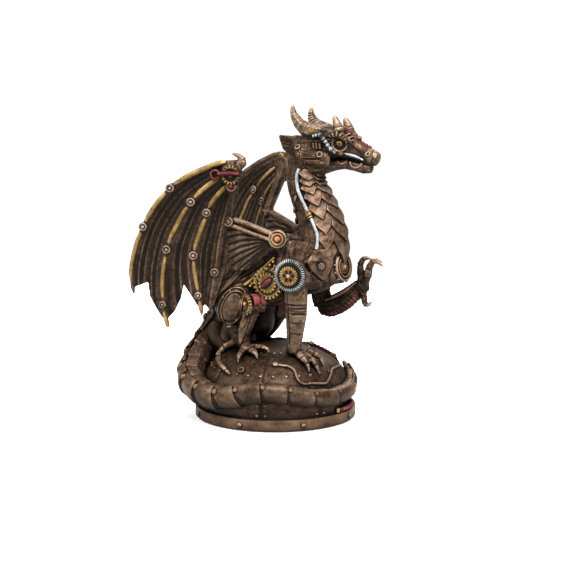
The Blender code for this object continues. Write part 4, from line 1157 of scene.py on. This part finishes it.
def flank(cast, side):
    """The rack and the big gear under the wing, and the armour plates of flank, haunch, shin and breast."""
    hand = HAND[side]
    start, end = (-12.6, 42.6), (9.6, 62.4)
    line = [(start[0] + (end[0] - start[0]) * index / 4.0,
             start[1] + (end[1] - start[1]) * index / 4.0) for index in range(5)]
    gilt = [rod(cast.line(side, line, 0.8), 1.2)]
    for index in range(9):
        share = (index + 0.5) / 9.0
        x = start[0] + (end[0] - start[0]) * share + 1.6
        z = start[1] + (end[1] - start[1]) * share - 1.8
        gilt.append(boss([(1.3, -1.6), (1.2, 1.4), (0.9, 1.7)], 4, *cast.side(side, x, z, 0.9), spin=0.6))
    axis = Vector((0.0, side, 0.05)).normalized()
    place = cast.side(side, 5.2, 45.4, 0.9)[0]
    gilt.append(stand(gear(22, 9.6, 11.4, 2.4, 0.0), place, axis))
    gilt.append(stand(gear(16, 5.9, 7.1, 2.2, 0.0), place + axis * 0.7 * UNIT, axis))
    gilt.append(cast.plate(side, [(9.4, 58.6), (13.2, 57.6), (13.6, 43.6), (10.0, 44.0)], 1.2))
    set_on(gilt, "flank_racks_" + hand, GILT)
    # Painted shade: dark slots, a dark well round the big gear and a dark oval under the red lens
    slots = [rivet(*cast.side(side, x, z, 1.2), 1.0,
                   0.3) for x, z in ((11.2, 55.4), (11.6, 51.2), (11.8, 47.0))]
    slots.append(boss([(8.2, -1.0), (8.2, 1.5), (7.9, 1.6)], 32, place, axis))
    slots.append(oval_boss(place + axis * 1.2 * UNIT, axis, 5.6, 2.9, 42.0,
                           [(1.0, -1.0), (1.0, 0.9), (0.9, 1.1)]))
    set_on(slots, "flank_slots_" + hand, DARK)
    lens = oval_boss(place + axis * 2.0 * UNIT, axis, 4.6, 1.8, 42.0,
                     [(1.0, -1.0), (1.0, 0.5), (0.7, 1.2), (0.3, 1.5)])
    finish(lens, "flank_lens_" + hand, RED)
    plates = [cast.plate(side, outline, lift) for outline, lift in (
        ([(14.0, 63.0), (6.0, 60.6), (-10.0, 49.4), (-9.0, 47.0), (7.0, 57.4), (14.6, 59.6)], 1.0),
        ([(-4.0, 37.6), (14.8, 44.6), (15.0, 34.0), (1.0, 29.6)], 3.2),
        ([(36.8, 61.0), (40.6, 70.0), (50.0, 71.6), (51.4, 60.0), (46.4, 47.4)], 2.4),
        ([(35.4, 58.8), (44.0, 47.4), (41.0, 42.6), (32.4, 45.8)], 1.4),
        (oval(-20.0, 27.0, 7.8, 14.0, -22.0), 0.6), (oval(-19.0, 27.6, 5.4, 10.6, -22.0), 1.8))]
    if side == RIGHT:
        plates += [cast.plate(side, outline, lift) for outline, lift in (
            ([(-12.6, 25.0), (-4.2, 25.4), (-8.2, 12.6), (-11.2, 2.8), (-13.2, 3.4), (-13.6, 14.0)], 0.9),
            (oval(-9.4, 18.8, 2.1, 4.8, -18.0), 1.9),
            ([(23.8, 43.4), (33.6, 43.4), (33.8, 33.6), (24.6, 33.6)], 0.8))]
    plates += cast.rivets(side, [(-25.6, 34.0), (-20.6, 38.6), (-13.6, 31.6), (-17.0, 18.6), (-23.4, 16.4),
                                 (-27.0, 24.0)], 1.1, 0.8)
    plates += cast.rivets(side, [(39.6, 62.0), (41.6, 68.0), (47.6, 69.0), (45.4, 51.4), (38.2, 56.0),
                                 (41.0, 46.4), (35.4, 48.6)], 0.75, 1.1)
    set_on(plates, "flank_plates_" + hand, PLATE_BRONZE)
    spot, normal = cast.side(side, 44.4, 59.6, 3.2)
    # Painted shade: a dark disc under the breast gear
    emblem = boss([(2.9, -1.0), (2.9, 0.3), (2.5, 0.5)], 24, spot, normal)
    finish(emblem, "breast_emblem_" + hand, DARK)
    finish(stand(gear(8, 1.5, 2.2, 1.2, 0.5), spot + normal * 0.5 * UNIT, normal), "breast_gear_" + hand,
           PLATE_BRONZE)
    edges = [rod(cast.line(side, outline, lift), 0.55, 3, closed=True, steps=2)
             for outline, lift in ((oval(-20.0, 27.0, 8.6, 14.8, -22.0), 0.7),
                                   (oval(-19.2, 27.4, 6.6, 12.0, -22.0), 1.2))]
    set_on(edges, "haunch_edges_" + hand, PLATE_BRONZE)
    tubes = []
    for shift in (0.0, -2.6):
        tubes.append(rod(cast.line(side, [(x + shift, z + 0.5 * shift) for x, z in (
            (-15.0, 53.0), (-21.0, 44.0), (-28.6, 36.0), (-35.0, 28.0), (-42.4, 20.0), (-49.0, 12.4),
            (-54.6, 5.6))], 0.9), 1.15))
    set_on(tubes, "hip_tubes_" + hand, TAIL_BRONZE)


def raised_arm(cast):
    """The ribbed hose under the raised forearm and the rods along its top."""
    hose = ribbed([at(28.6, 16.6, 25.0), at(35.0, 16.4, 21.8), at(43.6, 16.4, 26.0), at(51.6, 16.4, 32.0),
                   at(57.0, 16.4, 37.4)],
                  3.3, 2.6, 0.84)
    finish(hose, "forearm_hose", HOSE_RED)
    rods = [rod([at(32.0, y, 30.4), at(38.0, y, 33.2), at(47.4, y, 38.6), at(56.0, y, 45.4)],
                [1.2, 1.9, 1.9, 1.3])
            for y in (14.2, 21.8)]
    set_on(rods, "forearm_rods", PLATE_BRONZE)


def foot_path(side, *places):
    return [on_dome(x, side * y, above) for x, y, above in places]


def sculpt_head(skin):
    """Rings and light paint on the horns, and the seams and hollows of the head's armour, with painted shade
    in the hollows.
    """
    work = Sculptor(skin)
    for side in (RIGHT, LEFT):
        drop = 2.0 if side == LEFT else 0.0
        horn = [at(38, side * 7.5, 150.2), at(31.2, side * 8.8, 150.2), at(26, side * 9.9, 153),
                at(22.2 + 0.4 * drop, side * 10.8, 158 - 0.6 * drop),
                at(20.4 + 0.7 * drop, side * 11.2, 162.6 - drop),
                at(20.1 + drop, side * 11.4, 168 - 1.4 * drop)]
        brow = [at(52.8, side * 7.4, 152.0 - 0.5 * drop), at(50.4, side * 7.6, 161 - drop)]
        work.bead(horn, [5.4, 6.2, 5.4, 4.6, 3.6, 3.0])
        work.bead(brow, 4.0)
        work.swell(brow, [3.6, 3.0], 1.0)
        work.rings(horn, [0.14, 0.26, 0.38, 0.49, 0.59, 0.68, 0.77], 7.0, 0.34, 0.4, 0.7)
        work.rings(brow, [0.12], 4.0, 0.35, 0.3, 0.6)
        work.lines(side, [
            [(32.0, 147.0), (44.0, 146.4), (47.0, 141.0), (53.0, 135.8), (62.0, 133.4), (71.4, 130.4)],
            [(31.0, 144.4), (41.6, 144.0), (44.6, 138.8), (47.6, 135.4)],
            [(33.0, 137.4), (45.6, 136.4)], [(31.4, 146.4), (31.2, 126.6)],
            [(56.8, 133.4), (63.0, 131.6), (71.0, 128.8), (79.0, 128.4)],
            [(59.0, 147.8), (62.6, 142.0), (67.6, 137.6), (72.4, 136.6)],
            [(60.6, 143.6), (64.4, 139.6), (70.0, 135.2), (72.0, 131.8)],
            [(72.4, 139.4), (73.2, 133.6), (72.0, 129.6)], [(76.2, 138.0), (77.2, 133.0), (76.4, 129.2)],
            [(47.4, 126.0), (49.6, 130.6), (54.4, 131.4)], [(58.6, 125.6), (59.6, 130.0)],
            [(69.8, 130.0), (70.6, 122.4)],
            [(22.0, 141.0), (31.0, 142.4)], [(24.0, 144.4), (30.0, 147.6)],
            [(47.0, 147.6), (50.0, 149.8), (55.0, 149.8), (59.4, 147.0)]], 0.5, 0.55, 0.95)
        # Painted shade: hollows of the cheek and snout are pressed in and darkened
        for x, z, wide in ((35.6, 140.8, 3.6), (39.6, 140.4, 3.8), (42.6, 141.4, 2.6), (66.4, 132.0, 1.6),
                           (62.0, 132.8, 1.4)):
            flat = np.hypot(work.places[:, 0] - x, (work.places[:, 2] - z) * 1.3)
            here = (side * work.normals[:, 1] > 0.3) * np.clip((wide - flat) / 0.8, 0.0, 1.0)
            work.press(here, 0.7, 0.93)
        work.lines(side, [[(13.0, 142.6 - 1.9 * index),
                           (3.6 + 1.2 * index, 145.2 - 2.8 * index)] for index in range(5)],
                   0.6, 0.6, 0.95, 0.05)
        work.lines(side, [[(12.8 + 1.7 * index, 140.0 - 0.3 * index),
                           (13.6 + 1.7 * index, 126.6)] for index in range(6)],
                   0.55, 0.6, 0.95, 0.05)
    work.bead([at(74.6, 0, 134.0), at(79.0, 0, 132.6)], 6.4, 0.8)
    work.done()
    return finish(skin, "head_casting", BRONZE, 180.0)


def sculpt_body(skin):
    """Joints of the legs and toes and seams of the armour, with painted shade on the raised arm, the spur,
    the lower hind legs, the flank under the wing and beside the neck scutes.
    """
    work = Sculptor(skin)
    leg = [at(24, -14, 56), at(26.4, -17.4, 46), at(26.6, -17.8, 38), at(26.6, -17.6, 30), at(26, -17, 22),
           at(24.8, -16, 13),
           at(23.4, -15, 4), on_dome(24, -14.2, 3)]
    work.bead(leg[1:], 11.5, 0.55)
    work.rings(leg, [0.385, 0.42, 0.455, 0.49], 13.0, 0.5, 0.7, 0.95)
    work.rings(leg, [0.600, 0.720], 13.0, 0.4, 0.35, 0.8)
    work.lines(RIGHT, [[(23.0, 42.0), (23.2, 30.0), (22.8, 12.0), (21.8, 4.0)]], 0.7, 0.7, 0.95)
    arm = [at(26.4, 18.4, 25), at(35.8, 18, 26.4), at(46, 18, 32), at(54, 18, 38.2), at(60, 18, 43.5)]
    work.rings(arm, [0.10, 0.84, 0.93], 10.0, 0.5, 0.55, 0.9)
    # Painted shade on the raised arm and its wrist
    work.bead(arm, 12.0, 0.62, True)
    work.bead([at(54.0, 18.0, 40.0), at(60.0, 18.0, 48.0)], 9.0, 0.5, True)
    for share in (0.20, 0.28, 0.36, 0.44, 0.52, 0.60, 0.68, 0.76):
        below = read_curve(arm, 4.0 * share) - UP * 7.0 * UNIT
        ahead = read_curve(arm, 4.0 * share + 0.05) - read_curve(arm, 4.0 * share - 0.05)
        work.ring(below, ahead, 6.6, 0.55, 0.8, 0.95)
    for look in (RIGHT, LEFT):
        work.lines(look, [[(26.0, 25.6), (36.0, 27.6), (46.0, 33.4), (56.0, 41.0)],
                          [(28.0, 29.6), (38.0, 31.0), (48.0, 37.0)]],
                   0.5, 0.5, 0.9, 0.25, (0.0, look, 0.0))
    upper = [at(24, 14, 56), at(24.5, 18, 46), at(25.5, 18.6, 36), at(28, 18.4, 26.5)]
    work.rings(upper, [0.3, 0.5, 0.7, 0.9], 11.0, 0.5, 0.5, 0.9)
    for root, knuckle, tip in (((26.5, 15), (32.5, 18), (38.8, 20.6)),
                               ((29.5, 11.6), (36, 13.4), (43.6, 15.2)),
                               ((28.5, 8), (34.5, 6.4), (41.2, 5.0))):
        toe = foot_path(RIGHT, (*root, 3.4), (*knuckle, 3.8), (*tip, 0.2))
        work.rings(toe, [0.16, 0.46, 0.70], 4.6, 0.40, 0.5, 0.9)
        work.bead([toe[1].lerp(toe[2], 0.55), toe[2]], 3.2)
    for side, pace, turn in ((RIGHT, 0.0, 0.0), (LEFT, 13.0, math.radians(28.0))):
        for root, knuckle, tip in (((-9.5, 25.5), (-9.5, 31), (-8.5, 37.0)),
                                   ((-5.5, 26), (-0.5, 29), (4.6, 32.0)),
                                   ((-5, 22.5), (2, 22.8), (9.0, 22.6))):
            toe = []
            for (x, y), above in ((root, 3.0), (knuckle, 3.4), (tip, 0.2)):
                ahead = x + 15.0
                aside = y - 22.5
                toe.append(on_dome(-15.0 - pace + ahead * math.cos(turn) - aside * math.sin(turn),
                                   side * (22.5 + ahead * math.sin(turn) + aside * math.cos(turn)), above))
            work.rings(toe, [0.20, 0.52], 4.4, 0.40, 0.5, 0.9)
            work.bead([toe[1].lerp(toe[2], 0.5), toe[2]], 3.0)
    for across, root, knuckle, nail, tip in ((20.5, (56, 47), (56, 57.2), (59.6, 61.8), (65.4, 60.6)),
                                             (14.0, (63.5, 47), (65.8, 56.6), (70.4, 61.4), (76.8, 57.6)),
                                             (24.0, (59.5, 45), (61.4, 54.8), (65.2, 60.6), (71.2, 58.6)),
                                             (15.0, (61.6, 38), (62.0, 31.8), (64.6, 29.6), (68.2, 33.2))):
        finger = [at(x, across, z) for x, z in (root, knuckle, nail, tip)]
        work.rings(finger, [0.10, 0.30, 0.56], 4.0, 0.40, 0.45, 0.9)
        work.bead(finger[2:], 2.6)
    spur = [at(-17, -23, 3.5), at(-26, -31, -2), on_dome(-23, -38, 5.0), on_dome(-15.5, -42.4, 2.6),
            on_dome(-9.5, -45, 0.4)]
    work.rings(spur, [0.2, 0.4, 0.6, 0.8], 4.4, 0.45, 0.5, 0.9)
    work.bead(spur[3:], 2.4)
    # Painted shade on the spur where it leaves the body
    work.bead(spur[:3], 5.0, 0.45, True)
    for side, sag, pace in ((RIGHT, 0.0, 0.0), (LEFT, 10.0, 13.0)):
        shin = [at(-6 - 0.1 * pace, side * 20, 28 - sag), at(-9.2 - 0.35 * pace, side * 21.6, 18 - 0.9 * sag),
                at(-12.6 - 0.7 * pace, side * 23.2, 7 - 0.7 * sag),
                at(-9.5 - pace, side * 23.5, -0.5 - 0.6 * sag)]
        work.rings(shin, [0.62, 0.72, 0.82], 7.0, 0.5, 0.5, 0.9)
        heel = [at(-21 - 0.4 * pace, side * 20, 20 - 0.8 * sag),
                at(-21.5 - 0.7 * pace, side * 22.5, 11 - 0.8 * sag),
                at(-15 - pace, side * 23.5, 3.5 - 0.6 * sag)]
        work.rings(heel, [0.3, 0.5, 0.7], 6.0, 0.45, 0.5, 0.9)
        # Painted shade on the lower heel and shin
        work.bead(heel[1:], 7.0, 0.6, True)
        work.bead(shin[2:], 7.0, 0.55, True)
        work.lines(side, [
            [(10.0, 64.0), (-14.0, 48.0), (-20.0, 42.0)],
            [(-30.0, 40.0), (-14.0, 45.0), (-4.0, 40.4), (12.0, 42.6)],
            [(16.0, 36.0), (14.0, 46.0), (14.4, 60.0), (18.0, 70.0)],
            [(-2.0, 33.0), (2.0, 38.0), (12.0, 38.0)],
            [(36.0, 46.0), (38.6, 54.0), (46.0, 57.0)], [(31.0, 40.0), (38.0, 42.0), (44.0, 47.0)],
            [(38.0, 36.6), (41.0, 45.0)], [(-34.0, 38.0), (-36.0, 28.0), (-32.0, 16.0)],
            [(-44.0, 28.0), (-38.0, 34.0), (-30.0, 44.0), (-18.0, 50.0)]], 0.6, 0.6, 0.95)
        # Painted shade on the flank under the wing
        flat = np.hypot((work.places[:, 0] + 1.0) / 13.0,
                        (work.places[:, 2] - 47.0 - 0.5 * work.places[:, 0]) / 8.0)
        work.press((side * work.normals[:, 1] > 0.2) * np.clip((1.0 - flat) / 0.25, 0.0, 1.0), 0.0, 0.93)
        work.lines(side, [[(33.0, 62.6), (40.0, 68.0), (50.0, 68.0)],
                          [(34.0, 62.0), (38.0, 48.0), (50.0, 46.0)],
                          [(42.0, 68.0), (41.0, 58.0), (42.6, 48.0)],
                          [(30.6, 76.0), (20.0, 76.0), (14.0, 68.0)],
                          [(25.0, 66.0), (24.6, 80.0)], [(18.0, 84.0), (31.0, 86.0)],
                          [(17.0, 94.0), (27.0, 96.0)],
                          [(13.6, 104.0), (22.6, 106.0)], [(22.0, 86.0), (20.0, 104.0)]], 0.5, 0.5, 0.9)
        for index in range(9):
            work.lines(side, [[(-36.0 + 9.0 * index, 60.0 + 2.0 * index),
                               (-33.0 + 8.4 * index, 43.0 + 3.4 * index)]], 0.5, 0.4, 0.8,
                       0.1)
    for side in (RIGHT, LEFT):
        # Painted shade: a broad dark band down the neck beside the scutes
        work.lines(side, [[(27.4, 112.0), (31.6, 103.6), (37.0, 95.0), (42.6, 86.0), (45.4, 78.0),
                           (45.0, 68.0)]], 2.4, 0.2, 0.96)
        work.lines(side, [[(15.0 + 2.2 * index, 112.0), (13.6 + 2.4 * index, 98.0),
                           (15.6 + 2.6 * index, 84.0)] for index in range(4)],
                   0.45, 0.4, 0.85)
    work.done()
    return finish(skin, "body_casting", BRONZE, 180.0)


def sculpt_arm_web(side, work):
    """Long folds in the web under the upper arm, which fan out from the shoulder."""
    edge = [(-21.0, 81.0), (-21.4, 76.0), (-21.2, 71.0), (-21.0, 66.0), (-20.4, 61.0), (-18.6, 56.4),
            (-14.6, 53.2),
            (-10.0, 54.4), (-5.4, 56.6), (-0.6, 59.0), (4.4, 61.6)]
    lines = []
    for index, (foot_x, foot_z) in enumerate(edge):
        sag = 3.0 - 0.5 * index
        lines.append([(9.0, 74.5), (0.4 * foot_x + 5.4, 0.4 * foot_z + 44.7 + sag),
                      (0.75 * foot_x + 2.2, 0.75 * foot_z + 18.6 + sag),
                      (foot_x, foot_z)])
    for look in (side, -side):
        work.lines(look, lines, 0.75, 0.8, 0.92, 0.2, (0.3 * look, look * 0.95, 0.0))


# Plinth

RIM_RIVETS = 8
DOME_RIVETS = 32
# The plates round the plinth: how wide each is and where the first seam lies, in degrees
PLATE_ANGLE = 45.0
FIRST_SEAM = 70.5
HOOP_SHARE = 0.52


def radial(angle):
    return Vector((math.cos(angle), math.sin(angle), 0.0))


def plinth_body():
    """The turned plinth: rim, band and dome, with the joints of its riveted plates."""
    rim = PLINTH_RADIUS / UNIT
    band = (PLINTH_RADIUS - BAND_SETBACK) / UNIT
    dome = (PLINTH_RADIUS - DOME_SETBACK) / UNIT
    edge = RIM_HEIGHT / UNIT
    top = BAND_TOP / UNIT
    rise = (DOME_TOP - BAND_TOP) / UNIT
    profile = [(rim - 0.8, 0.0), (rim, 0.8), (rim, edge - 0.9), (rim - 0.35, edge - 0.2), (rim - 1.0, edge),
               (band + 0.3, edge + 0.1), (band, edge + 0.5), (band, top - 0.6), (band - 0.5, top)]
    arcs = 40
    profile += [(dome * math.cos(0.5 * math.pi * step / arcs),
                 top + rise * math.sin(0.5 * math.pi * step / arcs))
                for step in range(arcs)]
    body = turned(profile, 240)
    work = Sculptor(body)
    degrees = np.degrees(np.arctan2(work.places[:, 1], work.places[:, 0]))
    wide = np.hypot(work.places[:, 0], work.places[:, 1])
    high = work.places[:, 2] + DOME_TOP / UNIT
    half = 0.5 * PLATE_ANGLE
    seam = np.abs((degrees + FIRST_SEAM + half) % PLATE_ANGLE - half) * math.radians(1.0) * wide
    band_seam = np.exp(-(seam / 0.7) ** 2) * (high > edge + 0.4) * (wide > 22.0)
    hoop = np.exp(-((wide - HOOP_SHARE * dome) / 0.6) ** 2) * (high > top + 1.0)
    work.press(np.maximum(band_seam, hoop), 0.35, 0.9)
    work.done()
    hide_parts("plinth")
    return finish(body, "plinth_body", PLINTH_BRONZE, 34.0)


def plinth_details():
    """The rivets of rim, band and dome, the pipe with its hole, and the two hoses with their nuts."""
    bronze = []
    for index in range(RIM_RIVETS):
        out = radial(TURN * (index + 0.1) / RIM_RIVETS)
        bronze.append(rivet(out * PLINTH_RADIUS + UP * 0.5 * RIM_HEIGHT, out, 1.75, 0.8))
    for index in range(int(360.0 / PLATE_ANGLE)):
        for offset in (-3.2, 3.2):
            out = radial(math.radians(PLATE_ANGLE * index + offset - FIRST_SEAM))
            for up in (-9.6, -2.4):
                place = out * (PLINTH_RADIUS - BAND_SETBACK) + UP * (BAND_TOP + up * UNIT)
                bronze.append(rivet(place, out, 0.9, 0.8))
    for index in range(DOME_RIVETS):
        angle = TURN * (index + 0.5) / DOME_RIVETS
        for share in (0.45, 0.86):
            radius = share * (PLINTH_RADIUS - DOME_SETBACK) / UNIT
            place = on_dome(radius * math.cos(angle), radius * math.sin(angle))
            bronze.append(rivet(place, place + 0.01 * UP, 0.9, 0.8))
    route = [on_dome(x, y, 0.8) for x, y in (
        (18.4, -31.8), (22.4, -30.2), (26.4, -28.2), (29.6, -27.8), (32.2, -28.8), (34.4, -30.6),
        (36.6, -31.2), (39.2, -29.8),
        (42.6, -25.0), (46.4, -18.4), (48.0, -14.4), (48.0, -10.6), (47.0, -6.2), (45.8, -2.6), (45.0, 0.6),
        (44.4, 6.0),
        (42.8, 15.0))]
    bronze.append(rod(route, 0.95, 5, steps=6))
    bronze.append(rivet(route[0], Vector((0.2, -0.6, 1.0)), 2.0, 0.7))
    spot = on_dome(-2.4, -42.2)
    lean = Vector((0.0, -0.9, 1.0))
    set_on(bronze, "plinth_fittings", PLATE_BRONZE)
    # Painted shade: a dark disc in the hole
    hole = boss([(1.5, -1.0), (1.5, 1.2), (1.0, 1.3)], 16, spot, lean)
    finish(hole, "plinth_hole", DARK)
    finish(ring(spot + lean * 0.6 * UNIT, lean, 1.9, 0.7, 24, 6), "plinth_hole_ring", TAIL_BRONZE)
    upper = [on_dome(8, 20, -1), on_dome(14, 25.7, 0.6), on_dome(24, 28.4, 0.6), on_dome(30.5, 28.4, 0.4),
             on_dome(34.2, 24.5, -1)]
    lower = [round_plinth(-9, -3.2, -10.0), round_plinth(-2, -0.9, -9.8), round_plinth(6, -0.5, -9.4),
             round_plinth(13, -1.3, -8.8), round_plinth(18, -4.2, -8.4)]
    set_on([ribbed(upper, 2.1, 2.0), ribbed(lower, 2.1, 2.0)], "plinth_hoses", RED)
    nut = [(2.2, -1.6), (2.7, -1.2), (2.7, 1.2), (2.2, 1.6)]
    nuts = [boss(nut, 6, lower[0].lerp(lower[1], 0.1), lower[1] - lower[0]),
            boss(nut, 6, upper[1], upper[2] - upper[1]), boss(nut, 6, upper[3], upper[4] - upper[3])]
    set_on(nuts, "hose_nuts", GILT)


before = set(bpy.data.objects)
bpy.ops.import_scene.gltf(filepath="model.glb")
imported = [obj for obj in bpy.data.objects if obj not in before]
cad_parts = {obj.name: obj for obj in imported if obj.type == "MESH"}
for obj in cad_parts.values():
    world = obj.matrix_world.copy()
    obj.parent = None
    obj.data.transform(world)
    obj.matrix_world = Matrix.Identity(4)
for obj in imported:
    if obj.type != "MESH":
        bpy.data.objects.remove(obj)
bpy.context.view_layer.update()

plinth_body()
plinth_details()
head = casting("dragon", HEAD_GRAIN, 4, (NECK_CUT, True))
body = casting("dragon", BODY_GRAIN, 4, (NECK_CUT, False))
head_cast = Casting(head)
body_cast = Casting(body)
neck_scutes()
tail_plates()
medallion()
head_details(head_cast)
for side, node in ((RIGHT, "right_wing"), (LEFT, "left_wing")):
    skin = casting(node, WING_GRAIN, 3)
    fold_membrane(side, skin)
    finish(skin, node + "_casting", WING_BRONZE, 180.0)
    for face in (1, -1):
        finger_strips(side, face)
        finger_joints(side, face)
    wing_arm(side)
    shoulder_wheel(side)
    knee(side)
    neck_hose(head_cast, body_cast, side)
    flank(body_cast, side)
raised_arm(body_cast)
sculpt_head(head)
sculpt_body(body)


# Stage

SKY_FILL = 0.22
SKY_SEEN = 1.1
FLOOR_RADIUS = 0.6
FLOOR_DROP = 0.0005
FLOOR_GLOW = 0.35
# Each light's name, place, the height it points at, its size and its power
LIGHTS = [("key", (0.55, -0.65, 1.25), 0.1, 0.7, 40.0), ("side", (-0.85, -0.65, 0.95), 0.12, 0.7, 14.0),
          ("back", (-0.1, 0.9, 1.1), 0.1, 0.8, 14.0)]
# The photograph's view
FOCAL_LENGTH = 112.08
SENSOR_WIDTH = 36.0
CAMERA_PLACE = (0.607731, -1.052621, 0.291807)
CAMERA_HEADING = 30.0 - 0.3146
CAMERA_DIP = 9.3585


def area_light(name, place, height, size, power):
    light = bpy.data.lights.new(name, "AREA")
    light.shape = "DISK"
    light.size = size
    light.energy = power
    lamp = bpy.data.objects.new(name, light)
    lamp.location = place
    lamp.rotation_euler = (Vector((0.0, 0.0, height)) - Vector(place)).to_track_quat("-Z", "Y").to_euler()
    bpy.context.scene.collection.objects.link(lamp)


def build_stage():
    """A pale floor, a white surround and soft studio light."""
    bpy.ops.mesh.primitive_circle_add(vertices=64, radius=FLOOR_RADIUS, fill_type="NGON",
                                      location=(0.0, 0.0, -FLOOR_DROP))
    floor = bpy.context.object
    floor.name = "floor"
    paint = bpy.data.materials.new("pale floor")
    paint.use_nodes = True
    for socket, value in (("Base Color", (0.9, 0.9, 0.9, 1.0)), ("Roughness", 0.9),
                          ("Emission Color", (1.0, 1.0, 1.0, 1.0)), ("Emission Strength", FLOOR_GLOW)):
        paint.node_tree.nodes["Principled BSDF"].inputs[socket].default_value = value
    floor.data.materials.append(paint)
    world = bpy.data.worlds.new("studio")
    world.use_nodes = True
    tree = world.node_tree
    sky = tree.nodes["Background"]
    sky.inputs["Color"].default_value = (1.0, 1.0, 1.0, 1.0)
    seen = tree.nodes.new("ShaderNodeLightPath")
    link(tree, ranged(tree, seen.outputs["Is Camera Ray"], 0.0, 1.0, SKY_FILL, SKY_SEEN),
         sky.inputs["Strength"])
    bpy.context.scene.world = world
    for light in LIGHTS:
        area_light(*light)
    bpy.context.scene.view_settings.view_transform = "Standard"


def build_camera():
    """The photograph's view: from the dragon's right front, a little above it, with a long lens."""
    lens = bpy.data.cameras.new("photo camera")
    lens.lens = FOCAL_LENGTH
    lens.sensor_width = SENSOR_WIDTH
    lens.clip_start = 0.05
    camera = bpy.data.objects.new("photo camera", lens)
    heading = math.radians(CAMERA_HEADING)
    dip = math.radians(CAMERA_DIP)
    ahead = Vector((-math.sin(heading) * math.cos(dip), math.cos(heading) * math.cos(dip), -math.sin(dip)))
    camera.location = CAMERA_PLACE
    camera.rotation_euler = ahead.to_track_quat("-Z", "Y").to_euler()
    bpy.context.scene.collection.objects.link(camera)
    bpy.context.scene.camera = camera


build_stage()
build_camera()
